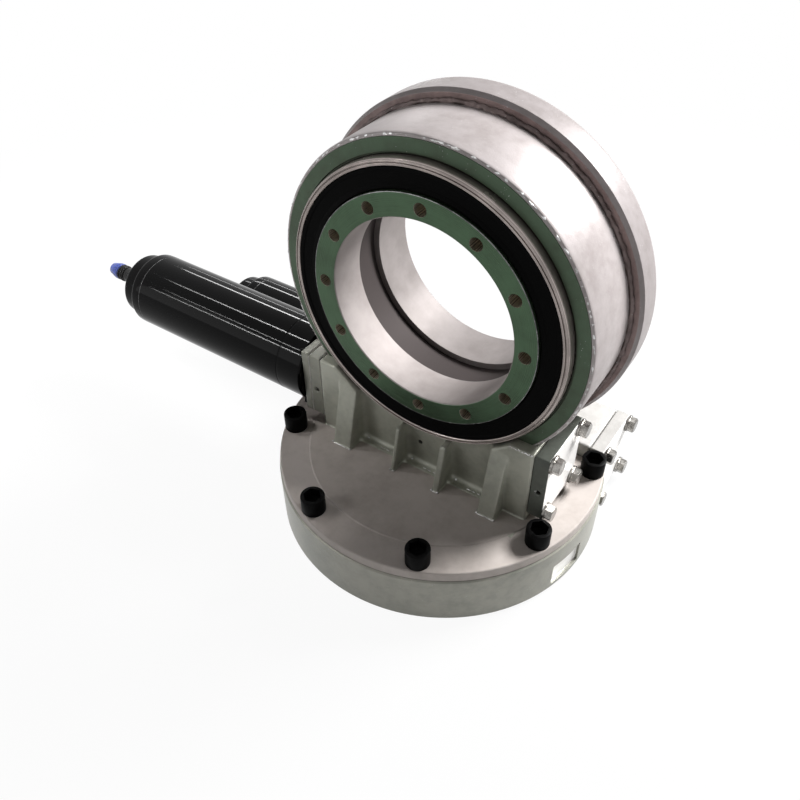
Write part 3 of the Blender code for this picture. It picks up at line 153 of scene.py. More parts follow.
class Graph:
    """The nodes of one material or of the world."""

    def __init__(self, owner: bpy.types.Material | bpy.types.World) -> None:
        """Args: owner: the material or world, whose nodes are made anew."""
        self.owner = owner
        self.owner.use_nodes = True
        self.tree = self.owner.node_tree
        self.tree.nodes.clear()

    def node(
        self, kind: str, settings: dict | None = None, sockets: dict | None = None, out: int | str = 0
    ) -> Wire:
        """Adds one node.

        Args:
            kind: the node's type.
            settings: its settings, set first.
            sockets: values or links of its inputs.
            out: the output to return.
        Returns:
            The chosen output.
        """
        node = self.tree.nodes.new(kind)
        for key, value in (settings or {}).items():
            setattr(node, key, value)
        for key, value in (sockets or {}).items():
            if isinstance(value, Wire):
                self.tree.links.new(value.socket, node.inputs[key])
            else:
                node.inputs[key].default_value = value
        return Wire(self, node.outputs[out])

    def place(self) -> Wire:
        """The point on the piece, in metres."""
        return self.node("ShaderNodeTexCoord", out="Object")

    def noise(self, at: Wire, scale: float, detail: float = 3.0, rough: float = 0.55) -> Wire:
        """Even noise from 0 to 1 in three dimensions."""
        return self.node(
            "ShaderNodeTexNoise",
            {"noise_dimensions": "3D"},
            {"Vector": at, "Scale": scale, "Detail": detail, "Roughness": rough},
        )

    def lines(self, along: Wire, scale: float, detail: float = 4.0) -> Wire:
        """Noise that changes along one measure only, as a tool's lines do."""
        return self.node(
            "ShaderNodeTexNoise", {"noise_dimensions": "1D"}, {"W": along, "Scale": scale, "Detail": detail}
        )

    def stretched(self, at: Wire, scale: Point) -> Wire:
        """The point with each axis scaled."""
        return self.node("ShaderNodeMapping", {"vector_type": "POINT"}, {"Vector": at, "Scale": scale})

    def mixed(self, share: Wire | float, first: Wire | Colour, second: Wire | Colour) -> Wire:
        """A colour from first at share 0 to second at share 1."""
        return self.node(
            "ShaderNodeMix",
            {"data_type": "RGBA", "clamp_factor": True},
            {0: share, 6: first, 7: second},
            out=2,
        )

    def corners(self, reach: float) -> Wire:
        """How closed in a point is, from 0 in the open to 1 in a corner within reach."""
        open_share = self.node(
            "ShaderNodeAmbientOcclusion", {"samples": 8}, {"Distance": reach}, out="AO"
        )
        return 1 - open_share

    def from_axis(self, at: Wire, axis: Axis, centre: Point) -> Wire:
        """The distance from a turned piece's axis.

        Args:
            at: the point on the piece.
            axis: the way the axis points.
            centre: a point on it.
        Returns:
            The distance in metres.
        """
        split = self.node("ShaderNodeSeparateXYZ", {}, {0: at}).socket.node
        skipped = {Axis.RIGHT: 0, Axis.BACK: 1, Axis.UP: 2}[axis]
        first, second = [i for i in range(3) if i != skipped]
        a = Wire(self, split.outputs[first]) - centre[first]
        b = Wire(self, split.outputs[second]) - centre[second]
        return (a * a + b * b) ** 0.5

    def bumped(self, height: Wire, strength: float, depth: float) -> Wire:
        """A normal that follows a height."""
        return self.node(
            "ShaderNodeBump", {}, {"Strength": strength, "Distance": depth, "Height": height}
        )

    def seen(self) -> Wire:
        """1 where the camera or a reflection looks, and 0 for the light that falls on the drive."""
        seen = self.node("ShaderNodeLightPath", out="Is Camera Ray")
        for kind in ("Is Glossy Ray", "Is Transmission Ray"):
            seen = seen + self.node("ShaderNodeLightPath", out=kind)
        return seen

    def end(self, shader: Wire, kind: str = "ShaderNodeOutputMaterial") -> None:
        """Links the last shader to an output of its kind."""
        output = self.tree.nodes.new(kind)
        self.tree.links.new(shader.socket, output.inputs["Surface"])

    def surface(self, values: dict) -> bpy.types.Material:
        """Ends the material with its shader. Args: values: the shader's sockets. Returns: the material."""
        self.end(self.node("ShaderNodeBsdfPrincipled", {}, values))
        return self.owner


def grey(value: float, warm: float = 0.0, green: float = 0.0) -> Colour:
    """A near-grey. Args: value: its level. warm: share towards brown. green: share towards green."""
    return (
        value * (1 + warm - 0.6 * green),
        value * (1 + 0.2 * warm + 0.4 * green),
        value * (1 - warm - 0.2 * green),
        1.0,
    )


@dataclass(frozen=True)
class Finish:
    """A surface finish; each kind paints its own nodes."""

    name: str

    def paint(self, graph: Graph) -> bpy.types.Material:
        """Args: graph: an empty material. Returns: the finished one."""
        raise NotImplementedError

    def material(self) -> bpy.types.Material:
        """The material of this finish, made once."""
        made = bpy.data.materials.get(self.name)
        return made or self.paint(Graph(bpy.data.materials.new(self.name)))


@dataclass(frozen=True)
class CastPaint(Finish):
    """Silver paint on a casting: metal flake painted as bright glint specks, cloudy tone, grain, and painted
    shade in the corners.
    """

    tone: Colour = (0.5, 0.5, 0.5, 1.0)
    shade: Colour = (0.3, 0.3, 0.3, 1.0)
    # The colour of the painted shade in corners, and below it how far that shade reaches.
    corner_shade_colour: Colour = (0.05, 0.045, 0.04, 1.0)
    metal: float = 0.45
    rough: float = 0.36
    grain: float = 0.35
    fleck_glints: float = 0.5
    level: float = 0.25
    corner_shade_reach: float = 0.010

    def paint(self, graph: Graph) -> bpy.types.Material:
        """The paint's nodes. Args: graph: an empty material. Returns: the finished one."""
        at = graph.place()
        cloud = graph.noise(at, 14.0, 4.0, 0.6)
        mottle = graph.noise(at, 90.0, 4.0, 0.6)
        # Painted glints: small specks of the metal flake, put into the colour near white.
        cell = graph.node("ShaderNodeTexVoronoi", {"feature": "F1"}, {"Vector": at, "Scale": 420.0})
        fleck_glint = (1 - cell.between(0.05, 0.16)) * graph.noise(at, 60.0, 2.0).between(0.52, 0.66)
        base = graph.mixed((cloud * 0.6 + mottle * 0.4).between(0.32, 0.62), self.shade, self.tone)
        # Painted shade: the colour darkens where a corner closes in, patchy with the mottle.
        corner = graph.corners(self.corner_shade_reach).between(0.25, 0.95)
        corner_shaded = graph.mixed(corner * (0.55 + 0.45 * mottle) * 0.85, base, self.corner_shade_colour)
        bright = graph.mixed(fleck_glint * self.fleck_glints, corner_shaded, grey(0.92))
        grain = graph.noise(at, 900.0, 3.0, 0.6)
        lumps = graph.noise(at, 210.0, 3.0, 0.5)
        return graph.surface(
            {
                "Base Color": bright,
                "Metallic": self.metal,
                "Roughness": self.rough + 0.16 * (mottle - 0.5) + 0.25 * corner,
                "Specular IOR Level": self.level,
                "Normal": graph.bumped(grain * 0.45 + lumps * 0.55, self.grain, 0.0006),
            }
        )


@dataclass(frozen=True)
class TurnedSteel(Finish):
    """Machined steel with a tool's rings round its axis, another tone in its bore, and painted shade in its
    recess and corners.

    Args:
        bore: the radius within which the bore's tones show; 0 is none.
        recess: the place along Y past which the recess's painted shade shows; 0 is none.
        dulled: how much less metal shows in both.
    """

    tone: Colour = (0.45, 0.45, 0.44, 1.0)
    shade: Colour = (0.30, 0.31, 0.30, 1.0)
    axis: Axis = Axis.BACK
    centre: Point = (0.0, 0.0, RING_HEIGHT)
    metal: float = 0.75
    rough: float = 0.30
    pitch: float = 1500.0
    bore: float = 0.0
    bore_tone: Colour = (0.6, 0.6, 0.6, 1.0)
    bore_shade: Colour = (0.45, 0.45, 0.45, 1.0)
    recess: float = 0.0
    # The recess's painted shade.
    recess_painted_shade: Colour = (0.060, 0.051, 0.050, 1.0)
    dulled: float = 0.65
    # How strongly the corners are painted dark, as shade.
    corner_shade_share: float = 0.75

    def paint(self, graph: Graph) -> bpy.types.Material:
        """The steel's nodes. Args: graph: an empty material. Returns: the finished one."""
        at = graph.place()
        out = graph.from_axis(at, self.axis, self.centre)
        rings = graph.lines(out, self.pitch, 5.0)
        cloud = graph.noise(at, 25.0, 4.0, 0.6)
        # Painted shade: the colour darkens where a corner closes in.
        corner = graph.corners(0.006).between(0.35, 0.95)
        change = (rings * 0.45 + cloud * 0.55).between(0.36, 0.62)
        tone = graph.mixed(change, self.shade, self.tone)
        metal: Wire | float = self.metal
        rough: Wire | float = self.rough
        if self.bore:
            inside = 1 - out.between(self.bore + 0.0002, self.bore + 0.0008)
            metal = self.metal - self.dulled * inside
            rough = self.rough + 0.22 * inside
            tone = graph.mixed(inside, tone, graph.mixed(change, self.bore_shade, self.bore_tone))
        if self.recess:
            # Painted shade: past the recess's edge the colour turns near black, with less metal.
            depth = graph.node("ShaderNodeSeparateXYZ", {}, {0: at}, out="Y")
            deep = depth.between(self.recess - 0.0004, self.recess)
            metal = metal - self.dulled * deep
            rough = rough + 0.30 * deep
            tone = graph.mixed(deep, tone, self.recess_painted_shade)
        return graph.surface(
            {
                "Base Color": graph.mixed(corner * self.corner_shade_share, tone, grey(0.05, 0.2)),
                "Metallic": metal,
                "Roughness": rough + 0.14 * (rings - 0.5) + 0.10 * (cloud - 0.5),
                "Specular IOR Level": 0.04,
                "Normal": graph.bumped(rings + graph.noise(at, 700.0, 2.0) * 0.3, 0.18, 0.0003),
            }
        )


@dataclass(frozen=True)
class Plating(Finish):
    """Zinc plate or black oxide on a fastener."""

    tone: Colour = (0.6, 0.6, 0.58, 1.0)
    shade: Colour = (0.4, 0.4, 0.38, 1.0)
    metal: float = 0.85
    rough: float = 0.3
    level: float = 0.5

    def paint(self, graph: Graph) -> bpy.types.Material:
        """The plating's nodes. Args: graph: an empty material. Returns: the finished one."""
        at = graph.place()
        stain = graph.noise(at, 160.0, 4.0, 0.6)
        fine = graph.noise(at, 1400.0, 3.0, 0.6)
        # Painted shade: the colour darkens almost to black where a corner closes in.
        corner = graph.corners(0.004).between(0.3, 0.95)
        tone = graph.mixed(stain.between(0.38, 0.62), self.shade, self.tone)
        return graph.surface(
            {
                "Base Color": graph.mixed(corner * 0.7, tone, grey(0.02)),
                "Metallic": self.metal,
                "Roughness": self.rough + 0.25 * (stain - 0.5),
                "Specular IOR Level": self.level,
                "Normal": graph.bumped(fine, 0.15, 0.0002),
            }
        )


@dataclass(frozen=True)
class Enamel(Finish):
    """Gloss black enamel on a gearmotor."""

    tone: Colour = (0.0018, 0.0018, 0.0019, 1.0)

    def paint(self, graph: Graph) -> bpy.types.Material:
        """The enamel's nodes. Args: graph: an empty material. Returns: the finished one."""
        at = graph.place()
        peel = graph.noise(at, 260.0, 2.0, 0.5)
        dust = graph.noise(at, 1800.0, 2.0, 0.7).between(0.62, 0.80)
        tone = graph.mixed(dust * 0.12, self.tone, grey(0.06))
        return graph.surface(
            {
                "Base Color": tone,
                "Roughness": 0.05 + 0.04 * graph.noise(at, 30.0, 3.0) + 0.15 * dust,
                "Specular IOR Level": 0.07,
                "Normal": graph.bumped(peel, 0.0015, 0.0002),
            }
        )


@dataclass(frozen=True)
class Moulded(Finish):
    """Rubber or moulded plastic."""

    tone: Colour = (0.01, 0.01, 0.01, 1.0)
    shade: Colour = (0.005, 0.005, 0.005, 1.0)
    rough: float = 0.6
    level: float = 0.3
    grain: float = 0.3

    def paint(self, graph: Graph) -> bpy.types.Material:
        """The rubber or plastic's nodes. Args: graph: an empty material. Returns: the finished one."""
        at = graph.place()
        cloud = graph.noise(at, 70.0, 4.0, 0.6)
        skin = graph.noise(at, 1300.0, 3.0, 0.6)
        return graph.surface(
            {
                "Base Color": graph.mixed(cloud.between(0.35, 0.65), self.shade, self.tone),
                "Roughness": self.rough + 0.2 * (cloud - 0.5) + 0.1 * (skin - 0.5),
                "Specular IOR Level": self.level,
                "Normal": graph.bumped(skin, self.grain, 0.0003),
            }
        )


@dataclass(frozen=True)
class GroundSteel(Finish):
    """Ground worm, shaft and bearing steel with a film of grease."""

    tone: Colour = (0.52, 0.51, 0.49, 1.0)
    shade: Colour = (0.36, 0.34, 0.31, 1.0)

    def paint(self, graph: Graph) -> bpy.types.Material:
        """The ground steel's nodes. Args: graph: an empty material. Returns: the finished one."""
        at = graph.place()
        fine = graph.noise(graph.stretched(at, (1.0, 0.08, 0.08)), 2600.0, 3.0, 0.6)
        film = graph.noise(at, 45.0, 4.0, 0.6).between(0.42, 0.66)
        tone = graph.mixed(fine.between(0.35, 0.65), self.shade, self.tone)
        return graph.surface(
            {
                "Base Color": graph.mixed(film * 0.45, tone, (0.16, 0.10, 0.045, 1.0)),
                "Metallic": 0.9,
                "Roughness": 0.24 + 0.16 * fine - 0.08 * film,
                "Normal": graph.bumped(fine, 0.12, 0.0002),
            }
        )


BELT_PAINT = CastPaint(
    "belt_paint", (0.43, 0.391, 0.388, 1.0), (0.335, 0.298, 0.291, 1.0), metal=0.12, rough=0.36, level=0.15
)
# Drum face: a darker, greener copy of the silver paint, painted as the shade on the front faces and the
# green reflected onto them.
FACE_PAINT = CastPaint("drum_face_paint", grey(0.086, 0.12, 0.52), grey(0.060, 0.14, 0.42))
SHELL_PAINT = CastPaint(
    "rear_shell_paint",
    (0.29, 0.262, 0.261, 1.0),
    (0.22, 0.195, 0.190, 1.0),
    metal=0.1,
    rough=0.4,
    level=0.15,
)
# Shoulder: the rear shell's front-facing faces, a darker copy of its paint painted as the shade on that
# side, with bright specks painted as glints.
SHOULDER_PAINT = CastPaint(
    "shoulder_paint", (0.28, 0.21, 0.20, 1.0), (0.15, 0.112, 0.108, 1.0), rough=0.4, fleck_glints=1.0
)
FLANGE_PAINT = CastPaint(
    "flange_paint",
    (0.47, 0.425, 0.397, 1.0),
    (0.38, 0.338, 0.312, 1.0),
    metal=0.0,
    rough=0.40,
    grain=0.08,
    fleck_glints=0.0,
    level=0.12,
)
HOUSING_PAINT = CastPaint(
    "housing_paint", grey(0.410, 0.09, 0.08), grey(0.290, 0.09, 0.09), metal=0.15, rough=0.34
)
BLOCK_PAINT = CastPaint("base_block_paint", grey(0.43, 0.03), grey(0.36, 0.04), metal=0.15)
LOWER_PAINT = CastPaint(
    "lower_drum_paint", grey(0.30, 0.09, 0.05), grey(0.22, 0.08, 0.09), metal=0.25, rough=0.33
)
PLATE_PAINT = CastPaint("plate_paint", grey(0.25, 0.10, 0.08), grey(0.17, 0.10, 0.08), metal=0.15)
# End cover: a darker, greener copy of the plate paint, painted as the shade on it and the green reflected
# onto it.
COVER_SHADE_PAINT = CastPaint("cover_paint", grey(0.105, 0.06, 0.14), grey(0.070, 0.06, 0.14), metal=0.1)
# Near white: on the plates' +X ends it is a painted lit face, on the lower drum's pocket floor it is
# machined metal.
MACHINED_AND_LIT_PAINT = CastPaint(
    "machined_and_lit_face", grey(0.82, 0.02), grey(0.74, 0.03), metal=0.15, rough=0.32, grain=0.15, corner_shade_reach=0.004
)
# The weld bead: dark brown, with bright specks painted as glints.
WELD_PAINT = CastPaint(
    "weld_paint", (0.17, 0.130, 0.125, 1.0), (0.05, 0.038, 0.036, 1.0), rough=0.45, fleck_glints=1.0
)
# Near-white paint for the bright beads and lumps: painted highlights.
GLINT_BEAD_PAINT = CastPaint("glint_bead_paint", grey(0.72), grey(0.26, 0.06), metal=0.5, rough=0.28, corner_shade_reach=0.002)
# The ring's face tone is dark and green: painted shade on its front with a painted green reflection.
RING_STEEL = TurnedSteel(
    "ring_steel",
    grey(0.092, 0.12, 0.60),
    grey(0.068, 0.12, 0.54),
    bore=RING_BORE + 0.0002,
    bore_tone=(0.40, 0.363, 0.353, 1.0),
    bore_shade=(0.30, 0.270, 0.261, 1.0),
    recess=RING_RECESS - 0.0002,
)
# Walls of the tapped holes; their corners are painted dark as shade.
THREAD_STEEL = TurnedSteel(
    "thread_steel", grey(0.50, 0.14), grey(0.30, 0.16), metal=0.6, rough=0.28, corner_shade_share=0.65
)
REAR_RING_STEEL = TurnedSteel(
    "rear_ring_steel", (0.27, 0.246, 0.240, 1.0), (0.20, 0.181, 0.174, 1.0), metal=0.15, rough=0.5
)
BASE_STEEL = TurnedSteel("base_ring_steel", grey(0.30), grey(0.22), Axis.UP, (0.0, 0.0, 0.0))
LIP_STEEL = TurnedSteel(
    "lip_steel", (0.44, 0.385, 0.362, 1.0), (0.26, 0.227, 0.212, 1.0), metal=0.6, rough=0.26
)
OXIDE = Plating("black_oxide", grey(0.0030), grey(0.0012), metal=0.0, rough=0.40, level=0.03)
ZINC = Plating("zinc_plate", grey(0.36, 0.05), grey(0.18, 0.06), rough=0.24)
MOTOR_ENAMEL = Enamel("motor_enamel")
SEAL_RUBBER = Moulded("seal_rubber", grey(0.0022), grey(0.0014), 0.68, 0.03)
GLAND_PLASTIC = Moulded("gland_plastic", grey(0.006), grey(0.003), 0.34, 0.15, 0.15)
CONNECTOR_PLASTIC = Moulded(
    "connector_plastic", (0.020, 0.045, 0.24, 1.0), (0.014, 0.032, 0.18, 1.0), 0.30, 0.5, 0.12
)
WORM_STEEL = GroundSteel("worm_ground_steel")
# A grey metal bead laid along an edge: a painted highlight line, which the lamps also catch.
HIGHLIGHT_EDGE = Plating("highlight_edge", grey(0.20), grey(0.09), metal=1.0, rough=0.26)
BEARING_STEEL = GroundSteel("bearing_ground_steel", grey(0.62), grey(0.48))


# Shapes


class Solid:
    """A closed mesh in the making."""

    def __init__(self) -> None:
        """Starts with nothing."""
        self.bm = bmesh.new()

    @classmethod
    def turned(cls, profile: Profile, place: Matrix = LEVEL, steps: int = 160) -> "Solid":
        """A shape turned about its axis.

        Args:
            profile: radius and height of each corner; it closes itself unless both ends are on the axis.
            place: where local Z goes.
            steps: faces round the axis.
        Returns:
            The closed solid.
        """
        solid = cls()
        corners = [solid.bm.verts.new((radius, 0.0, height)) for radius, height in profile]
        pairs = list(zip(corners, corners[1:]))
        if profile[0][0] > 0 or profile[-1][0] > 0:
            pairs.append((corners[-1], corners[0]))
        edges = [solid.bm.edges.new(pair) for pair in pairs]
        bmesh.ops.spin(
            solid.bm,
            geom=corners + edges,
            cent=(0, 0, 0),
            axis=(0, 0, 1),
            dvec=(0, 0, 0),
            angle=math.tau,
            steps=steps,
            use_merge=True,
            use_duplicate=False,
        )
        return solid.tidied().moved(place)

    @classmethod
    def rod(cls, radius: float, low: float, high: float, place: Matrix = LEVEL, sides: int = 40) -> "Solid":
        """A plain round rod.

        Args:
            radius: its radius.
            low: where it starts along local Z.
            high: where it ends.
            place: where local Z goes.
            sides: faces round it.
        Returns:
            The closed rod.
        """
        solid = cls()
        bmesh.ops.create_cone(
            solid.bm,
            cap_ends=True,
            cap_tris=False,
            segments=sides,
            radius1=radius,
            radius2=radius,
            depth=high - low,
            matrix=place @ Matrix.Translation((0, 0, (low + high) / 2)),
        )
        return solid

    @classmethod
    def slab(cls, low: Point, high: Point, rounding: float = 0.0, steps: int = 3) -> "Solid":
        """A box between two corners.

        Args:
            low: the corner with the least of each measure.
            high: the corner with the most.
            rounding: the radius of its edges; 0 leaves them square.
            steps: faces across a rounded edge.
        Returns:
            The closed box.
        """
        solid = cls()
        size = [b - a for a, b in zip(low, high)]
        middle = [(a + b) / 2 for a, b in zip(low, high)]
        bmesh.ops.create_cube(
            solid.bm, size=1.0, matrix=Matrix.Translation(middle) @ Matrix.Diagonal((*size, 1.0))
        )
        if rounding:
            solid.eased(rounding, steps)
        return solid

    @classmethod
    def pebble(cls, centre: Point, radii: Point) -> "Solid":
        """A small round lump. Args: centre: its middle. radii: half its sizes. Returns: the lump."""
        solid = cls()
        place = Matrix.Translation(centre) @ Matrix.Diagonal((*radii, 1.0))
        bmesh.ops.create_icosphere(solid.bm, subdivisions=2, radius=1.0, matrix=place)
        return solid

    @classmethod
    def prism(cls, outline: list[Point], along: Point) -> "Solid":
        """A flat outline pushed along a vector.

        Args:
            outline: its corners in order.
            along: how far and which way it is pushed.
        Returns:
            The closed prism.
        """
        solid = cls()
        face = solid.bm.faces.new([solid.bm.verts.new(corner) for corner in outline])
        grown = bmesh.ops.extrude_face_region(solid.bm, geom=[face], use_keep_orig=True)
        bmesh.ops.translate(
            solid.bm, vec=along, verts=[g for g in grown["geom"] if isinstance(g, bmesh.types.BMVert)]
        )
        return solid.tidied()

    @classmethod
    def group(cls, solids: list["Solid"]) -> "Solid":
        """Several solids as one, not joined."""
        whole = cls()
        for solid in solids:
            whole.add(solid)
        return whole

    def add(self, other: "Solid") -> "Solid":
        """Takes another solid in, not joined."""
        mesh = bpy.data.meshes.new("in_the_making")
        other.bm.to_mesh(mesh)
        other.bm.free()
        self.bm.from_mesh(mesh)
        bpy.data.meshes.remove(mesh)
        return self

    def eased(self, width: float, steps: int = 3, sharper: float = 30.0) -> "Solid":
        """Rounds the sharp edges.

        Args:
            width: the rounding's width.
            steps: faces across it.
            sharper: the angle in degrees above which an edge is rounded.
        Returns:
            The same solid.
        """
        limit = math.radians(sharper)
        edges = [e for e in self.bm.edges if e.is_manifold and e.calc_face_angle(0.0) > limit]
        bmesh.ops.bevel(
            self.bm,
            geom=edges,
            offset=width,
            offset_type="OFFSET",
            segments=steps,
            profile=0.5,
            affect="EDGES",
            material=-1,
            clamp_overlap=True,
        )
        return self

    def moved(self, place: Matrix) -> "Solid":
        """Puts the solid where place says."""
        bmesh.ops.transform(self.bm, matrix=place, verts=self.bm.verts)
        return self

    def tidied(self) -> "Solid":
        """Merges doubled corners and turns the faces outwards."""
        bmesh.ops.remove_doubles(self.bm, verts=self.bm.verts, dist=1e-6)
        bmesh.ops.dissolve_degenerate(self.bm, dist=1e-7, edges=self.bm.edges)
        bmesh.ops.recalc_face_normals(self.bm, faces=self.bm.faces)
        return self

    def roughened(self, depth: float, scale: float) -> "Solid":
        """Pushes each corner in or out. Args: depth: how far. scale: the noise's. Returns: itself."""
        self.bm.normal_update()
        for vert in self.bm.verts:
            vert.co += vert.normal * depth * noise.noise(vert.co * scale)
        return self

    def as_object(self, name: str) -> bpy.types.Object:
        """Puts the solid in the scene. Returns: its object."""
        self.bm.normal_update()
        mesh = bpy.data.meshes.new(name)
        self.bm.to_mesh(mesh)
        self.bm.free()
        obj = bpy.data.objects.new(name, mesh)
        bpy.context.scene.collection.objects.link(obj)
        return obj

    def worked(self, kind: str, others: list["Solid"], settings: dict) -> "Solid":
        """Runs modifiers on the solid.

        Args:
            kind: the modifier's type; there is one for each of others, or one alone.
            others: the other solids of a Boolean.
            settings: the modifier's settings.
        Returns:
            The new solid.
        """
        obj = self.as_object("in_the_making")
        tools = [other.as_object("tool_in_the_making") for other in others]
        for tool in tools or [None]:
            modifier = obj.modifiers.new("work", kind)
            for key, value in settings.items():
                setattr(modifier, key, value)
            if tool:
                modifier.object = tool
        bpy.context.view_layer.update()
        result = Solid()
        evaluated = obj.evaluated_get(bpy.context.evaluated_depsgraph_get())
        result.bm.from_mesh(evaluated.to_mesh())
        evaluated.to_mesh_clear()
        for gone in [obj, *tools]:
            mesh = gone.data
            bpy.data.objects.remove(gone)
            bpy.data.meshes.remove(mesh)
        return result

    def cut(self, *tools: "Solid") -> "Solid":
        """The solid less each tool."""
        return self.worked("BOOLEAN", list(tools), {"operation": "DIFFERENCE", "solver": "EXACT"})

    def united(self, *others: "Solid") -> "Solid":
        """The solid joined with each of the others."""
        return self.worked("BOOLEAN", list(others), {"operation": "UNION", "solver": "EXACT"})

    def cast(self, grain: float, passes: int) -> "Solid":
        """Remeshes the solid finely and softens it, as a sand casting's corners are.

        Args:
            grain: the size of the new faces.
            passes: how often it is smoothed.
        Returns:
            The new solid.
        """
        solid = self.worked("REMESH", [], {"mode": "VOXEL", "voxel_size": grain, "adaptivity": 0.0})
        for _ in range(passes):
            bmesh.ops.smooth_vert(
                solid.bm, verts=solid.bm.verts, factor=0.5, use_axis_x=True, use_axis_y=True, use_axis_z=True
            )
        return solid

    def piece(
        self,
        name: str,
        body: Body,
        slot: Slot,
        finish: Finish,
        stands_for: tuple[str, ...] = (),
        edge: float = 0.0,
        steps: int = 2,
        sharper: float = 30.0,
        second: tuple[FaceTest, Finish] | None = None,
    ) -> bpy.types.Object:
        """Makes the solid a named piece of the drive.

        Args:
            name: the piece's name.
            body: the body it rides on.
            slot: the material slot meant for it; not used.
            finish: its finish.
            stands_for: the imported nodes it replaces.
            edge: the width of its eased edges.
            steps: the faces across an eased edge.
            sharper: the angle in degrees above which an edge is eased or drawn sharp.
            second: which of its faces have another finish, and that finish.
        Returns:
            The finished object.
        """
        obj = self.tidied().as_object(name)
        obj.data.polygons.foreach_set("use_smooth", [True] * len(obj.data.polygons))
        obj.data.set_sharp_from_angle(angle=math.radians(sharper))
        if edge:
            bevel = obj.modifiers.new("eased_edges", "BEVEL")
            bevel.width = edge
            bevel.segments = steps
            bevel.limit_method = "ANGLE"
            bevel.angle_limit = math.radians(sharper)
            bevel.harden_normals = True
        obj.data.materials.append(finish.material())
        if second:
            chosen, other = second
            obj.data.materials.append(other.material())
            for face in obj.data.polygons:
                face.material_index = int(chosen(face))
        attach(obj, body.value)
        if stands_for:
            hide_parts(*stands_for)
        LOG.info("%s: %d faces on %s", name, len(obj.data.polygons), body.value)
        return obj


def facing(way: Point) -> FaceTest:
    """A test for the faces that look one way."""
    return lambda face: face.normal.dot(Vector(way)) > 0.9


def in_holes(count: int, radius: float, circle: float, mouth: float, end: float) -> FaceTest:
    """A test for the walls and ends of the upright ring's holes.

    Args:
        count: how many holes.
        radius: their radius.
        circle: the radius of their circle.
        mouth: where they open, along Y.
        end: where they end, along Y.
    Returns:
        The test.
    """
    low, high = min(mouth, end) - 1e-4, max(mouth, end) + 1e-4
    turns = [Matrix.Rotation(math.tau * i / count, 4, "Z") for i in range(count)]
    spots = [RING_PLACE @ turn @ Vector((circle, 0, 0)) for turn in turns]

    def test(face: bpy.types.MeshPolygon) -> bool:
        """Whether a face lies in one of the holes, below its mouth."""
        near = min((spot.xz - face.center.xz).length for spot in spots) < radius * 1.02
        return near and low < face.center.y < high and abs(face.center.y - mouth) > 5e-4

    return test


def rod_circle(
    count: int, radius: float, circle: float, low: float, high: float, place: Matrix, sides: int = 32
) -> Solid:
    """Rods that stand in a circle, as one cutter.

    Args:
        count: how many rods.
        radius: their radius.
        circle: the radius of their circle.
        low: where they start along local Z.
        high: where they end.
        place: where the circle's local Z goes.
        sides: faces round a rod.
    Returns:
        The rods, not joined.
    """
    turns = [Matrix.Rotation(math.tau * i / count, 4, "Z") for i in range(count)]
    step = Matrix.Translation((circle, 0, 0))
    return Solid.group([Solid.rod(radius, low, high, place @ turn @ step, sides) for turn in turns])


def bead_profile(radius: float, height: float, thick: float, sides: int = 8) -> Profile:
    """The round section of a bead.

    Args:
        radius: the distance of its middle from the axis.
        height: the height of its middle.
        thick: half its thickness.
        sides: corners round it.
    Returns:
        The section's corners.
    """
    angles = [math.tau * i / sides for i in range(sides)]
    return [(radius + thick * math.cos(a), height + thick * math.sin(a)) for a in angles]


def soft_corner(radius: float, height: float, soft: float, way: int) -> Profile:
    """The rounded outer corner of a turned piece.

    Args:
        radius: the piece's radius.
        height: the height of its end face.
        soft: the corner's radius.
        way: 1 where the end face looks along the axis, -1 where it looks back.
    Returns:
        The corner's points from the end face outwards.
    """
    angles = [math.radians(15 * i) for i in range(7)]
    middle = height - way * soft
    return [(radius - soft + soft * math.sin(a), middle + way * soft * math.cos(a)) for a in angles]


def lying_axis(node: str) -> tuple[float, float, Matrix]:
    """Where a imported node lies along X. Args: node: its name. Returns: its ends and its axis."""
    low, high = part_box(node)
    middle = Matrix.Translation((0, (low[1] + high[1]) / 2, (low[2] + high[2]) / 2))
    return low[0], high[0], middle @ Axis.RIGHT.value


def toothed_band(teeth: int, width: float, middle: float, bore: float, place: Matrix) -> Solid:
    """A band of worm-wheel teeth with a round bore.

    Args:
        teeth: how many.
        width: the band's width.
        middle: its middle along local Z.
        bore: its inner radius.
        place: where local Z goes; a gap between teeth is at local +Y.
    Returns:
        The closed band.
    """
    module = 0.004
    pitch_radius, worm_radius = teeth * module / 2, 0.015
    tip, root = pitch_radius + module, pitch_radius - 1.25 * module
    slope, half = math.tan(math.radians(20)), 0.45 * math.pi * module / 2
    flanks = [
        (root, -(half + (pitch_radius - root) * slope) / root),
        (pitch_radius, -half / pitch_radius),
        (tip, -(half - (tip - pitch_radius) * slope) / tip),
    ]
    outline = flanks + [(radius, -angle) for radius, angle in reversed(flanks)]
    points = []
    for i in range(teeth):
        centre = math.radians(90) + math.tau * (i + 0.5) / teeth
        points += [
            (radius * math.cos(centre + turn), radius * math.sin(centre + turn), middle - width / 2)
            for radius, turn in outline
        ]
    band = Solid.prism(points, (0.0, 0.0, width))
    twist = module / (2 * worm_radius) * width / 2 / pitch_radius
    for vert in band.bm.verts:
        side = 1 if vert.co.z > middle else -1
        vert.co.rotate(Matrix.Rotation(side * twist, 3, "Z"))
    return band.moved(place).cut(Solid.rod(bore, middle - width, middle + width, place, 120))


# Sub-assemblies


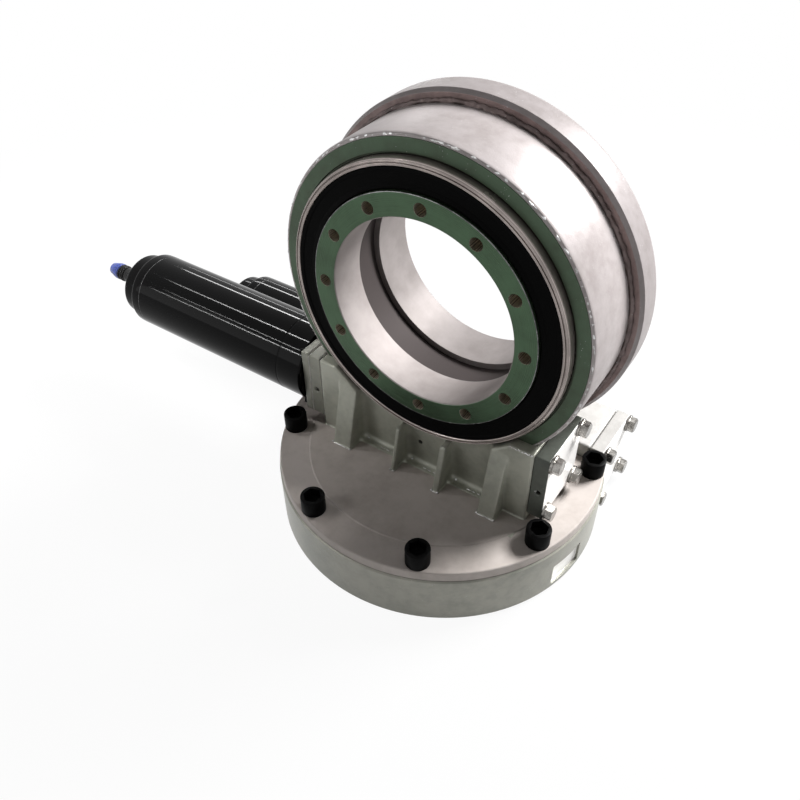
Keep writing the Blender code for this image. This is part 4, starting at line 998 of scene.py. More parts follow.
@dataclass
class UprightDrum:
    """The drum round the upright ring: belt, rear shell, weld, bright lips and seals."""

    belt_radius: float = 0.1577
    front: float = -0.036
    back: float = 0.033
    chamfer: float = 0.0035
    groove_radius: float = 0.1420
    groove_depth: float = 0.002
    seat_radius: float = 0.1403
    seat_depth: float = 0.0036
    cavity_radius: float = 0.134
    face_depth: float = 0.006
    race_front: float = 0.0087
    shell_radius: float = 0.1687
    shell_back: float = 0.068
    shell_wall: float = 0.010
    rounding: float = 0.008
    seal_inner: float = 0.1151
    seal_outer: float = 0.1337
    lip_outer: float = 0.140
    lip_inner: float = 0.134
    front_lip: tuple[float, float] = (-0.0448, -0.0327)
    rear_lip: tuple[float, float] = (0.0768, 0.0647)

    def belt(self) -> None:
        """The cast belt and the turned face in front of it."""
        r, front, back, c = self.belt_radius, self.front, self.back, self.chamfer
        groove, seat, depth = front + self.groove_depth, front + self.seat_depth, front + self.face_depth
        face = [
            (r - c, front),
            (self.groove_radius, front),
            (self.groove_radius, groove),
            (self.seat_radius, groove),
            (self.seat_radius, seat),
            (self.cavity_radius, seat),
            (self.cavity_radius, depth),
            (r - c - 0.0004, depth),
        ]
        Solid.turned(face, RING_PLACE, 192).piece(
            "drum_face", Body.HOUSING, Slot.CASTING, FACE_PAINT, ("upper_casting",), 0.0005
        )
        belt = [
            (r, back),
            (r, front + c),
            (r - 0.0009, front + 0.4 * c),
            (r - c, front + 0.0002),
            (r - c, depth),
            (self.cavity_radius, depth),
            (self.cavity_radius, self.race_front),
            (self.seat_radius, self.race_front),
            (self.seat_radius, back),
        ]
        Solid.turned(belt, RING_PLACE, 192).piece(
            "drum_belt", Body.HOUSING, Slot.CASTING, BELT_PAINT, ("upper_casting",), 0.0006
        )
        # A ragged bright bead on the front chamfer: a painted highlight along that edge.
        edge = bead_profile(r - 0.0023, front + 0.0021, 0.0012)
        Solid.turned(edge, RING_PLACE, 420).roughened(0.0011, 420.0).piece(
            "drum_edge_bead", Body.HOUSING, Slot.CASTING, GLINT_BEAD_PAINT
        )

    def shell(self) -> None:
        """The larger ring behind the belt, and the weld in the corner between them."""
        r, back, wall, soft = self.shell_radius, self.shell_back, self.shell_wall, self.rounding
        front = self.back + 0.0003
        profile = [
            *soft_corner(r, back, soft, 1),
            (r, front + 0.0034),
            (r - 0.0032, front),
            (self.seat_radius, front),
            (self.seat_radius, front + wall),
            (r - wall, front + wall),
            (r - wall, back - wall),
            (self.seat_radius, back - wall),
            (self.seat_radius, back),
        ]
        Solid.turned(profile, RING_PLACE, 192).piece(
            "rear_shell",
            Body.HOUSING,
            Slot.CASTING,
            SHELL_PAINT,
            ("drum_rear_shell",),
            0.0004,
            # Its faces that look to the front take the darker shoulder paint: painted shade.
            second=(facing((0, -1, 0)), SHOULDER_PAINT),
        )
        bead = bead_profile(self.belt_radius + 0.0006, self.back - 0.0006, 0.0027, 10)
        Solid.turned(bead, RING_PLACE, 480).roughened(0.0014, 300.0).piece(
            "belt_weld_bead", Body.HOUSING, Slot.CASTING, WELD_PAINT
        )

    def lips(self) -> None:
        """The bright rings that hold the seals, and the seals."""
        outer, inner = self.lip_outer, self.lip_inner
        nose, root = self.front_lip
        front = [
            (outer, root),
            (outer, nose + 0.0025),
            (outer - 0.0007, nose + 0.0011),
            (outer - 0.0018, nose),
            (inner + 0.0037, nose),
            (inner + 0.0034, nose + 0.0012),
            (inner + 0.0027, nose + 0.0012),
            (inner + 0.0024, nose),
            (inner + 0.0006, nose),
            (inner, nose + 0.0006),
            (inner, root),
        ]
        Solid.turned(front, RING_PLACE, 192).piece(
            "bright_front_lip", Body.HOUSING, Slot.LIP_STEEL, LIP_STEEL, ("front_lip_ring",), 0.0003
        )
        nose, root = self.rear_lip
        rear = [
            (outer - 0.0025, nose),
            (outer - 0.0007, nose - 0.0011),
            (outer, nose - 0.0025),
            (outer, root),
            (inner, root),
            (inner, nose - 0.0006),
            (inner + 0.0006, nose),
        ]
        Solid.turned(rear, RING_PLACE, 192).piece(
            "bright_rear_lip", Body.HOUSING, Slot.LIP_STEEL, LIP_STEEL, ("rear_lip_ring",), 0.0003
        )
        low, high = self.seal_inner, self.seal_outer
        for name, front_y, sign in (("front_seal", -0.044, 1), ("rear_seal", 0.076, -1)):
            profile = [
                (low, front_y + sign * 0.008),
                (low, front_y + sign * 0.0006),
                (low + 0.0006, front_y),
                (low + 0.004, front_y + sign * 0.0003),
                (low + 0.005, front_y + sign * 0.0009),
                (high - 0.004, front_y + sign * 0.0009),
                (high - 0.003, front_y + sign * 0.0002),
                (high - 0.0005, front_y),
                (high, front_y + sign * 0.0006),
                (high, front_y + sign * 0.008),
            ]
            Solid.turned(profile, RING_PLACE, 160).piece(
                f"rubber_{name}", Body.HOUSING, Slot.RUBBER, SEAL_RUBBER, (name,)
            )

    def build(self) -> None:
        """Makes the whole drum."""
        self.belt()
        self.shell()
        self.lips()


@dataclass
class WormHousing:
    """The ribbed worm block, cast in one with the flange under it."""

    axis_y: float = -0.012
    left: float = -0.1195
    right: float = 0.124
    half_width: float = 0.036
    web_half: float = 0.0265
    top: float = 0.1605
    flange_top: float = 0.072
    pad_top: float = 0.073
    rounding: float = 0.0055
    posts: tuple[tuple[float, float], ...] = (
        (-0.094, -0.072),
        (-0.021, -0.017),
        (0.029, 0.0357),
        (0.0806, 0.099),
    )
    foot_reach: tuple[float, float] = (0.054, 0.047)
    top_reach: float = 0.0335
    post_top: float = 0.158
    worm_height: float = 0.1215
    tunnel_radius: float = 0.020
    port_radius: float = 0.0025
    port_x: float = -0.002
    port_height: float = 0.101
    skirt_reach: tuple[float, float] = (0.062, 0.055)
    skirt_bottom: float = 0.0695
    flange_radius: float = 0.1705
    flange_bottom: float = 0.0607
    pad_radius: float = 0.1391
    straight_back: float = 0.061

    def gaps(self) -> list[tuple[float, float]]:
        """The ends along X of each bay between two posts."""
        return [(one[1], other[0]) for one, other in zip(self.posts, self.posts[1:])]

    def block(self) -> Solid:
        """The block with its bays and leaning posts, before it is cast."""
        y = self.axis_y
        block = Solid.slab(
            (self.left, y - self.half_width, self.flange_top - 0.003),
            (self.right, y + self.half_width, self.top),
            0.0015,
            2,
        )
        bays = []
        for low_x, high_x in self.gaps():
            for side in (-1, 1):
                inner = y + side * self.web_half
                outer = y + side * (self.half_width + 2 * self.rounding)
                bays.append(
                    Solid.slab(
                        (low_x, min(inner, outer), self.pad_top + 0.0006),
                        (high_x, max(inner, outer), self.top + 2 * self.rounding),
                        self.rounding,
                        6,
                    )
                )
        block = block.cut(*bays)
        wedges = []
        for side, reach in zip((-1, 1), self.foot_reach):
            foot, top = y + side * reach, y + side * self.top_reach
            core = y + side * (self.web_half - self.rounding)
            for low_x, high_x in self.posts:
                outline = [
                    (low_x, foot, self.flange_top - 0.001),
                    (low_x, top, self.post_top),
                    (low_x, core, self.post_top),
                    (low_x, core, self.flange_top - 0.001),
                ]
                wedges.append(Solid.prism(outline, (high_x - low_x, 0.0, 0.0)))
        front, rear = self.skirt_reach
        skirt = Solid.slab(
            (self.left, y - front, self.skirt_bottom), (self.right, y + rear, self.pad_top - 0.0004)
        )
        block = block.united(*wedges, skirt)
        drum = UprightDrum()
        seat, mouth = drum.seat_radius - 0.0001, drum.front + drum.seat_depth
        inside = [
            (0.0, -drum.front),
            (seat, -drum.front),
            (seat, drum.race_front),
            (drum.cavity_radius, drum.race_front),
            (drum.cavity_radius, mouth),
            (drum.groove_radius, mouth),
            (drum.groove_radius, 2 * drum.front),
            (0.0, 2 * drum.front),
        ]
        tunnel = Solid.rod(
            self.tunnel_radius, self.left - 0.01, self.right + 0.01, self.worm_place(), 48
        )
        return block.cut(Solid.turned(inside, RING_PLACE, 160), tunnel)

    def worm_place(self) -> Matrix:
        """The worm's axis."""
        return Matrix.Translation((0, self.axis_y, self.worm_height)) @ Axis.RIGHT.value

    def housing(self) -> None:
        """The cast block with its drilled port."""
        spot = Matrix.Translation((self.port_x, self.axis_y - self.web_half, self.port_height))
        port = spot @ Axis.BACK.value
        drill = Solid.rod(self.port_radius, -0.006, 0.007, port, 24)
        self.block().cast(0.00115, 3).cut(drill).piece(
            "worm_housing", Body.HOUSING, Slot.CASTING, HOUSING_PAINT, ("upper_casting",), sharper=50.0
        )

    def flange(self) -> None:
        """The round flange, cut straight at the back, with its low pad."""
        rim, pad, top = self.flange_radius, self.pad_radius, self.flange_top
        profile = [
            (0.0, self.pad_top),
            (pad, self.pad_top),
            (pad + 0.0008, top + 0.0002),
            (pad + 0.0016, top),
            (rim - 0.0010, top),
            (rim, top - 0.0010),
            (rim, self.flange_bottom),
            (0.0, self.flange_bottom),
        ]
        trim = Solid.slab((-0.2, self.straight_back, 0.05), (0.2, 0.2, 0.09))
        Solid.turned(profile, LEVEL, 192).cut(trim).piece(
            "flange_plate", Body.HOUSING, Slot.CASTING, FLANGE_PAINT, ("upper_casting",), 0.0005
        )

    def glint_beads(self) -> None:
        """Bright lumps along the feet of the front's bays and posts, and along the block's top front edge
        near its right end: painted highlights.
        """
        foot, post = self.axis_y - self.web_half - self.rounding, self.axis_y - self.foot_reach[0]
        lumps = []
        for low_x, high_x in self.gaps():
            middle, half = (low_x + 3 * high_x) / 4 - 0.004, (high_x - low_x) / 4 - 0.003
            lumps.append(Solid.pebble((low_x + 0.007, foot + 0.003, 0.0746), (0.0018, 0.0014, 0.0012)))
            lumps += [
                Solid.pebble((middle + half * share, foot - 0.001, 0.0736), (half * 0.3, 0.0006, 0.0006))
                for share in (-0.7, 0.0, 0.7)
            ]
        for low_x, high_x in self.posts:
            reach = (high_x - low_x) / 2
            lumps += [Solid.pebble((x, post, 0.0738), (0.0012, 0.0010, 0.0012)) for x in (low_x, high_x)]
            lumps.append(Solid.pebble((low_x + reach, post - 0.0004, 0.0731), (reach, 0.0005, 0.0006)))
        for i in range(8):
            spot = (0.100 + 0.003 * i, -0.0475 + 0.0003 * math.sin(2.7 * i), 0.1592)
            lumps.append(Solid.pebble(spot, (0.0017, 0.0009, 0.0010)))
        Solid.group(lumps).roughened(0.0005, 500.0).piece(
            "foot_glint_beads", Body.HOUSING, Slot.CASTING, GLINT_BEAD_PAINT
        )

    def build(self) -> None:
        """Makes the housing, its flange and the bright lumps painted as glints."""
        self.housing()
        self.flange()
        self.glint_beads()


@dataclass
class LowerDrum:
    """The lying drum, the base worm's block behind it and the rim over that."""

    radius: float = 0.172
    bottom: float = 0.002
    top: float = 0.0604
    chamfer: float = 0.0015
    worm_y: float = 0.097
    worm_z: float = 0.0485
    half_length: float = 0.140
    half_depth: float = 0.035
    notch_front: float = 0.0583
    tunnel_radius: float = 0.020
    inner_radius: float = 0.092
    shelf_radius: float = 0.0955
    shelf_top: float = 0.030
    seal_radius: float = 0.1126
    seal_seat: float = 0.0136
    pocket_turn: float = math.radians(-11.5)
    pocket_half: float = 0.0215
    pocket_depth: float = 0.004
    pocket_bottom: float = 0.008
    pocket_top: float = 0.036
    block_bottom: float = 0.0095
    block_top: float = 0.0875
    rim_radius: float = 0.170
    rim_bottom: float = 0.0574
    rim_top: float = 0.072

    def notches(self) -> list[Solid]:
        """What is cut away at both ends of the base worm's block."""
        return [
            Solid.slab(
                (min(s * self.half_length, s * 0.4), self.notch_front, -0.05),
                (max(s * self.half_length, s * 0.4), 0.4, 0.2),
            )
            for s in (-1, 1)
        ]

    def tunnel(self) -> Solid:
        """The tunnel of the base worm."""
        worm = Matrix.Translation((0, self.worm_y, self.worm_z)) @ Axis.RIGHT.value
        return Solid.rod(self.tunnel_radius, -0.2, 0.2, worm, 48)

    def wall(self) -> None:
        """The drum's wall with its machined pocket."""
        r, c, top, bottom = self.radius, self.chamfer, self.top, self.bottom
        profile = [
            (r - c, top),
            (r, top - c),
            (r, bottom + c),
            (r - c, bottom),
            (self.seal_radius, bottom),
            (self.seal_radius, self.seal_seat),
            (self.shelf_radius, self.seal_seat),
            (self.shelf_radius, self.shelf_top),
            (self.inner_radius, self.shelf_top),
            (self.inner_radius, top),
        ]
        low = (-self.pocket_depth, -self.pocket_half, self.pocket_bottom)
        high = (self.pocket_depth, self.pocket_half, self.pocket_top)
        pocket = Solid.slab(low, high, 0.0012, 2).moved(
            Matrix.Rotation(self.pocket_turn, 4, "Z") @ Matrix.Translation((r, 0, 0))
        )
        flat = facing((math.cos(self.pocket_turn), math.sin(self.pocket_turn), 0.0))

        def in_pocket(face: bpy.types.MeshPolygon) -> bool:
            """Whether a face is the pocket's floor."""
            middle = r - self.pocket_depth
            return flat(face) and middle - 0.002 < face.center.xy.length < middle + 0.002

        Solid.turned(profile, LEVEL, 192).cut(*self.notches(), pocket, self.tunnel()).piece(
            "lower_drum_wall",
            Body.HOUSING,
            Slot.CASTING,
            LOWER_PAINT,
            ("lower_drum",),
            0.0007,
            second=(in_pocket, MACHINED_AND_LIT_PAINT),
        )

    def block(self) -> None:
        """The base worm's block."""
        block = Solid.slab(
            (-self.half_length, self.worm_y - self.half_depth, self.block_bottom),
            (self.half_length, self.worm_y + self.half_depth, self.block_top),
            0.003,
            4,
        )
        high, shelf, wide = self.top - 0.001, self.shelf_top - 0.001, self.seal_radius + 0.001
        inside = self.inner_radius + 0.001
        cavity = Solid.turned(
            [(0.0, high), (inside, high), (inside, shelf), (wide, shelf), (wide, -0.01), (0.0, -0.01)],
            LEVEL,
            120,
        )
        block.cut(cavity, self.tunnel()).piece(
            "base_worm_block", Body.HOUSING, Slot.CASTING, BLOCK_PAINT, ("lower_drum",), sharper=40.0
        )

    def rim(self) -> None:
        """The rim over the block, behind the flange."""
        r, top, bottom = self.rim_radius, self.rim_top, self.rim_bottom
        rim = Solid.turned(
            [(0.0, top), (r - 0.001, top), (r, top - 0.001), (r, bottom), (0.0, bottom)], LEVEL, 192
        )
        front = Solid.slab((-0.2, -0.2, 0.05), (0.2, self.worm_y, 0.09))
        rim.cut(front, *self.notches()).piece(
            "rear_rim", Body.HOUSING, Slot.CASTING, FLANGE_PAINT, ("lower_drum",), 0.0005
        )

    def seal(self) -> None:
        """The dust seal under the drum."""
        outer, inner, low, high = self.seal_radius - 0.0003, 0.1088, self.bottom, 0.011
        profile = [(outer, low), (outer, high), (inner, high), (inner, low + 0.001), (inner + 0.001, low)]
        Solid.turned(profile, LEVEL, 160).piece(
            "base_seal", Body.HOUSING, Slot.RUBBER, SEAL_RUBBER, ("azimuth_seal",)
        )

    def build(self) -> None:
        """Makes the drum's wall, block, rim and seal."""
        self.wall()
        self.block()
        self.rim()
        self.seal()


@dataclass
class UprightRing:
    """The geared ring that the torque tube bolts to, front and rear."""

    face: float = -0.0468
    back: float = 0.0788
    face_radius: float = 0.1143
    gear_radius: float = 0.1205
    step_radius: float = 0.1190
    recess_radius: float = 0.1040
    gear_back: float = 0.032
    rear_bore: float = 0.0979
    easing: float = 0.0008
    teeth_count: int = 63
    teeth_width: float = 0.024
    teeth_middle: float = -0.012
    teeth_bore: float = 0.110
    holes: int = 12
    hole_radius: float = 0.006
    hole_depth: float = 0.020
    front_circle: float = 0.1026
    rear_circle: float = 0.1061

    def front(self) -> None:
        """The front ring with its teeth and tapped holes, and a thin metal bead on its edge as a painted
        highlight.
        """
        r, face, soft = self.face_radius, self.face, self.easing
        profile = [
            (self.gear_radius, self.gear_back),
            (self.gear_radius, 0.0003),
            (self.step_radius, -0.0008),
            (self.step_radius, -0.0232),
            (r, -0.0248),
            (r, face + soft),
            (r - soft, face),
            (RING_BORE + 0.0010, face),
            (RING_BORE, face + 0.0010),
            (RING_BORE, RING_RECESS),
            (self.recess_radius, RING_RECESS),
            (self.recess_radius, self.gear_back),
        ]
        ring = Solid.turned(profile, RING_PLACE, 192)
        teeth = toothed_band(
            self.teeth_count, self.teeth_width, self.teeth_middle, self.teeth_bore, RING_PLACE
        )
        size, circle, end = self.hole_radius, self.front_circle, face + self.hole_depth
        holes = rod_circle(self.holes, size, circle, face - 0.01, end, RING_PLACE)
        ring.united(teeth).cut(holes).piece(
            "ring_front",
            Body.RING,
            Slot.RING_STEEL,
            RING_STEEL,
            ("elevation_gear_ring",),
            0.0004,
            second=(in_holes(self.holes, size, circle, face, end), THREAD_STEEL),
        )
        Solid.turned(bead_profile(r - 0.0006, face + 0.0006, 0.0006), RING_PLACE, 256).piece(
            "ring_highlight_edge", Body.RING, Slot.RING_STEEL, HIGHLIGHT_EDGE
        )

    def rear(self) -> None:
        """The rear ring with its tapped holes."""
        r, back, soft, bore = self.face_radius, self.back, self.easing, self.rear_bore
        profile = [
            (r - soft, back),
            (r, back - soft),
            (r, self.gear_back + 0.0003),
            (bore, self.gear_back + 0.0003),
            (bore, back - soft),
            (bore + soft, back),
        ]
        size, circle, end = self.hole_radius, self.rear_circle, back - self.hole_depth
        holes = rod_circle(self.holes, size, circle, end, back + 0.01, RING_PLACE)
        Solid.turned(profile, RING_PLACE, 192).cut(holes).piece(
            "ring_rear",
            Body.RING,
            Slot.RING_STEEL,
            REAR_RING_STEEL,
            ("elevation_rear_ring",),
            0.0004,
            second=(in_holes(self.holes, size, circle, back, end), THREAD_STEEL),
        )

    def build(self) -> None:
        """Makes both rings."""
        self.front()
        self.rear()


@dataclass
class BaseRing:
    """The lying geared ring that bolts to the mast."""

    flange_radius: float = 0.108
    flange_top: float = 0.0120
    step_radius: float = 0.0885
    step_top: float = 0.0300
    hub_radius: float = 0.0752
    top: float = 0.0575
    bore: float = 0.056
    easing: float = 0.0008
    teeth_count: int = 41
    teeth_width: float = 0.020
    teeth_middle: float = 0.0485
    teeth_bore: float = 0.066
    holes: int = 12
    hole_radius: float = 0.006
    hole_circle: float = 0.078
    hole_depth: float = 0.018

    def build(self) -> None:
        """Makes the ring, its teeth and its bolt holes."""
        r, bore, soft = self.flange_radius, self.bore, self.easing
        profile = [
            (self.hub_radius, self.top),
            (self.hub_radius, self.step_top),
            (self.step_radius, self.step_top),
            (self.step_radius, self.flange_top),
            (r, self.flange_top),
            (r, soft),
            (r - soft, 0.0),
            (bore + soft, 0.0),
            (bore, soft),
            (bore, self.top),
        ]
        ring = Solid.turned(profile, LEVEL, 160)
        teeth = toothed_band(self.teeth_count, self.teeth_width, self.teeth_middle, self.teeth_bore, LEVEL)
        holes = rod_circle(self.holes, self.hole_radius, self.hole_circle, -0.01, self.hole_depth, LEVEL)
        ring.united(teeth).cut(holes).piece(
            "base_ring", Body.BASE, Slot.RING_STEEL, BASE_STEEL, ("azimuth_ring",), 0.0004
        )


@dataclass
class FlangeBolts:
    """The six black socket bolts of the flange, each on a split spring washer."""

    seat: float = 0.072
    washer: float = 0.0032
    head_radius: float = 0.012
    head_height: float = 0.016
    shank_radius: float = 0.008
    shank_end: float = -0.034
    socket_corner: float = 0.0091
    socket_depth: float = 0.010
    washer_outer: float = 0.0119
    washer_inner: float = 0.0084

    def build(self) -> None:
        """Makes all six bolts and washers."""
        for number in range(1, 7):
            node = f"flange_bolt_{number}"
            low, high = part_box(node)
            place = Matrix.Translation(((low[0] + high[0]) / 2, (low[1] + high[1]) / 2, self.seat))
            turn = Matrix.Rotation(0.7 * number, 4, "Z")
            top = self.washer + self.head_height
            bolt = Solid.turned(
                [
                    (0.0, top),
                    (self.head_radius - 0.0012, top),
                    (self.head_radius - 0.0003, top - 0.0004),
                    (self.head_radius, top - 0.0013),
                    (self.head_radius, self.washer + 0.0003),
                    (self.head_radius - 0.0003, self.washer),
                    (self.shank_radius, self.washer),
                    (self.shank_radius, self.shank_end),
                    (0.0, self.shank_end),
                ],
                place,
                64,
            )
            socket = Solid.turned(
                [
                    (0.0, top - self.socket_depth - 0.002),
                    (self.socket_corner, top - self.socket_depth),
                    (self.socket_corner, top + 0.01),
                    (0.0, top + 0.01),
                ],
                place @ turn,
                6,
            )
            bolt.cut(socket).piece(
                f"socket_bolt_{number}", Body.HOUSING, Slot.OXIDE, OXIDE, (node,), 0.0003
            )
            outer, inner = self.washer_outer, self.washer_inner
            washer = Solid.turned(
                [(outer, 0.0), (outer, self.washer), (inner, self.washer), (inner, 0.0)], place, 64
            )
            split = Solid.slab((0.0, -0.0007, -0.001), (0.02, 0.0007, 0.006)).moved(
                place @ turn @ Matrix.Rotation(0.35, 4, "X")
            )
            washer.cut(split).piece(
                f"spring_washer_{number}", Body.HOUSING, Slot.OXIDE, OXIDE, edge=0.0003
            )


@dataclass
class Plates:
    """One worm drive's end cover, adaptor, motor plate and their fasteners.

    Args:
        prefix: the worm drive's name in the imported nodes.
        paint: the finish of the adaptor and the motor plate.
        cover_paint: the finish of the end cover.
    """

    prefix: str
    paint: Finish
    cover_paint: Finish
    rounding: float = 0.0016
    cover_depth: float = 0.015
    port_radius: float = 0.0025
    shaft_bore: float = 0.0225
    motor_bore: float = 0.0093
    bolt_height: float = 0.009
    screw_reach: tuple[float, float] = (0.029, 0.033)

    def plate(self, node: str, name: str, finish: Finish, port: bool, bores: list[Solid]) -> None:
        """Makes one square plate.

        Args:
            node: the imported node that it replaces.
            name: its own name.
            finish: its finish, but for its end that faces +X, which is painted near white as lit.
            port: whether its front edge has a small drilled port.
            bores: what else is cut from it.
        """
        low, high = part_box(node)
        middle = [(a + b) / 2 for a, b in zip(low, high)]
        if node.endswith("end_cover"):
            low = (high[0] - self.cover_depth, low[1], low[2])
            middle[0] = (low[0] + high[0]) / 2
        solid = Solid.slab(tuple(low), tuple(high))
        if port:
            spot = Matrix.Translation((middle[0], low[1], middle[2] - 0.0055)) @ Axis.BACK.value
            bores = bores + [Solid.rod(self.port_radius, -0.006, 0.007, spot, 24)]
        if bores:
            solid = solid.cut(*bores)
        solid.piece(
            name,
            Body.HOUSING,
            Slot.CASTING,
            finish,
            (node,),
            self.rounding,
            3,
            sharper=40.0,
            # Faces that look along +X are painted near white, as lit.
            second=(facing((1, 0, 0)), MACHINED_AND_LIT_PAINT),
        )

    def bolts(self) -> None:
        """Makes the four zinc hex bolts of the end cover."""
        for number in range(1, 5):
            node = f"{self.prefix}_cover_bolt_{number}"
            start, head, place = lying_axis(node)
            seat = head - self.bolt_height
            hexagon = Solid.rod(0.0082, seat + 0.002, head, place, 6)
            crown = Solid.turned(
                [
                    (0.0, seat),
                    (0.0083, seat),
                    (0.0083, head - 0.0012),
                    (0.0068, head),
                    (0.0, head),
                ],
                place,
                64,
            )
            top = hexagon.worked("BOOLEAN", [crown], {"operation": "INTERSECT", "solver": "EXACT"})
            shank = Solid.turned(
                [
                    (0.0, seat + 0.003),
                    (0.0072, seat + 0.003),
                    (0.0072, seat + 0.002),
                    (0.0092, seat + 0.0019),
                    (0.0092, seat),
                    (0.0050, seat),
                    (0.0050, start),
                    (0.0, start),
                ],
                place,
                48,
            )
            shank.united(top).piece(
                f"hex_bolt_{self.prefix}_{number}", Body.HOUSING, Slot.ZINC, ZINC, (node,), 0.0003
            )

    def screws(self) -> None:
        """Makes the four black socket screws that hold the motor's plate, on the motor's side."""
        low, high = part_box(f"{self.prefix}_motor_plate")
        middle_y, middle_z = (low[1] + high[1]) / 2, (low[2] + high[2]) / 2
        for number, (side_y, side_z) in enumerate(((-1, -1), (-1, 1), (1, -1), (1, 1)), 1):
            across, up = self.screw_reach
            spot = Matrix.Translation((low[0], middle_y + side_y * across, middle_z + side_z * up))
            place = spot @ Matrix.Rotation(math.pi, 4, "Y") @ Axis.RIGHT.value
            screw = Solid.turned(
                [
                    (0.0, 0.0045),
                    (0.0036, 0.0045),
                    (0.0042, 0.0040),
                    (0.0042, 0.0),
                    (0.0026, 0.0),
                    (0.0026, -0.006),
                    (0.0, -0.006),
                ],
                place,
                32,
            )
            key = Solid.rod(0.0023, 0.002, 0.008, place, 6)
            screw.cut(key).piece(
                f"plate_screw_{self.prefix}_{number}", Body.HOUSING, Slot.OXIDE, OXIDE, edge=0.0002
            )

    def build(self) -> None:
        """Makes the plates and fasteners."""
        axis = lying_axis(f"{self.prefix}_motor_body")[2]
        self.plate(f"{self.prefix}_end_cover", f"{self.prefix}_cover", self.cover_paint, True, [])
        bore = Solid.rod(self.shaft_bore, -0.3, 0.0, axis, 48)
        self.plate(f"{self.prefix}_adaptor_plate", f"{self.prefix}_adaptor", self.paint, True, [bore])
        bore = Solid.rod(self.motor_bore, -0.3, 0.0, axis, 32)
        self.plate(f"{self.prefix}_motor_plate", f"{self.prefix}_motor_flange", self.paint, False, [bore])
        self.bolts()
        self.screws()


@dataclass
class Gearmotor:
    """One black gearmotor with its caps, cable gland and blue connector cap."""

    prefix: str
    radius: float = 0.043
    cap_radius: float = 0.0365
    cap_rounding: float = 0.004
    mouth_radius: float = 0.0093
    mouth_depth: float = 0.014
    groove: float = 0.030
    groove_depth: float = 0.0004
    groove_width: float = 0.0020
    nut_radius: float = 0.0120
    neck_radius: float = 0.0095
    seam_back: float = 0.009

    def node(self, part: str) -> tuple[str, float, float, Matrix]:
        """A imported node's name, its ends along X and its axis."""
        name = f"{self.prefix}_{part}"
        return (name, *lying_axis(name))

    def tube(self) -> None:
        """The enamelled tube with the groove near its front."""
        name, back, front, axis = self.node("motor_body")
        r, mouth, floor = self.radius, self.mouth_radius, front - self.mouth_depth
        start, deep = front - self.groove, self.radius - self.groove_depth
        end = start - self.groove_width
        profile = [
            (0.0, floor),
            (mouth, floor),
            (mouth, front),
            (r - 0.0015, front),
            (r, front - 0.0015),
            (r, start),
            (deep, start - 0.0005),
            (deep, end + 0.0005),
            (r, end),
            (r, back),
            (0.0, back),
        ]
        Solid.turned(profile, axis, 256).piece(
            f"{self.prefix}_motor_tube", Body.HOUSING, Slot.ENAMEL, MOTOR_ENAMEL, (name,), 0.0003
        )

    def caps(self) -> None:
        """The end ring with a thin metal bead on its edge as a painted highlight, and the rear cap."""
        name, back, front, axis = self.node("motor_end_cap")
        r = self.radius
        corner = soft_corner(r, back, self.cap_rounding, -1)
        Solid.turned(
            [(0.0, back), *corner, (r, front - 0.0006), (r - 0.0006, front), (0.0, front)], axis, 128
        ).piece(f"{self.prefix}_end_ring", Body.HOUSING, Slot.ENAMEL, MOTOR_ENAMEL, (name,))
        Solid.turned(bead_profile(r - 0.0008, front, 0.0008), axis, 160).piece(
            f"{self.prefix}_highlight_edge", Body.HOUSING, Slot.ENAMEL, HIGHLIGHT_EDGE
        )
        name, back, front, axis = self.node("motor_rear_cap")
        r = self.cap_radius
        corner = soft_corner(r, back, self.cap_rounding, -1)
        Solid.turned([(0.0, back), *corner, (r, front), (0.0, front)], axis, 128).piece(
            f"{self.prefix}_rear_cap", Body.HOUSING, Slot.ENAMEL, MOTOR_ENAMEL, (name,)
        )

    def gland(self) -> None:
        """The cable gland: a ribbed nut and its neck."""
        name, back, front, axis = self.node("cable_gland")
        end, r, neck_r = front - 0.45 * (front - back), self.nut_radius, self.neck_radius
        nut = Solid.turned(
            [(0.0, end), (r - 0.0008, end), (r, end + 0.0008), (r, front), (0.0, front)], axis, 48
        )
        grips = rod_circle(16, 0.0009, r + 0.0004, end - 0.001, front - 0.002, axis, 8)
        root = end + 0.002
        neck = Solid.turned(
            [(0.0, root), (neck_r, root), (neck_r, back + 0.003), (neck_r - 0.001, back), (0.0, back)],
            axis,
            48,
        )
        nut.cut(grips).united(neck).piece(
            f"{self.prefix}_gland", Body.HOUSING, Slot.PLASTIC, GLAND_PLASTIC, (name,), 0.0002
        )

    def connector(self) -> None:
        """The blue connector cap and the ribbed collar that holds it."""
        name, back, front, axis = self.node("connector_cap")
        seam = front - self.seam_back
        Solid.turned(
            [
                (0.0, seam - 0.0003),
                (0.0096, seam - 0.0003),
                (0.0100, seam - 0.0008),
                (0.0100, seam - 0.0055),
                (0.0072, back + 0.0012),
                (0.0060, back),
                (0.0, back),
            ],
            axis,
            64,
        ).piece(
            f"{self.prefix}_connector", Body.HOUSING, Slot.CONNECTOR, CONNECTOR_PLASTIC, (name,), 0.0002
        )
        Solid.turned(
            [
                (0.0, front),
                (0.0092, front),
                (0.0092, front - 0.0020),
                (0.0100, front - 0.0024),
                (0.0100, front - 0.0048),
                (0.0090, front - 0.0052),
                (0.0090, front - 0.0066),
                (0.0098, front - 0.0070),
                (0.0098, seam + 0.0005),
                (0.0092, seam),
                (0.0, seam),
            ],
            axis,
            64,
        ).piece(
            f"{self.prefix}_connector_collar", Body.HOUSING, Slot.PLASTIC, GLAND_PLASTIC, (name,), 0.0002
        )

    def build(self) -> None:
        """Makes the motor's pieces in order from the plate outwards."""
        self.tube()
        self.caps()
        self.gland()
        self.connector()


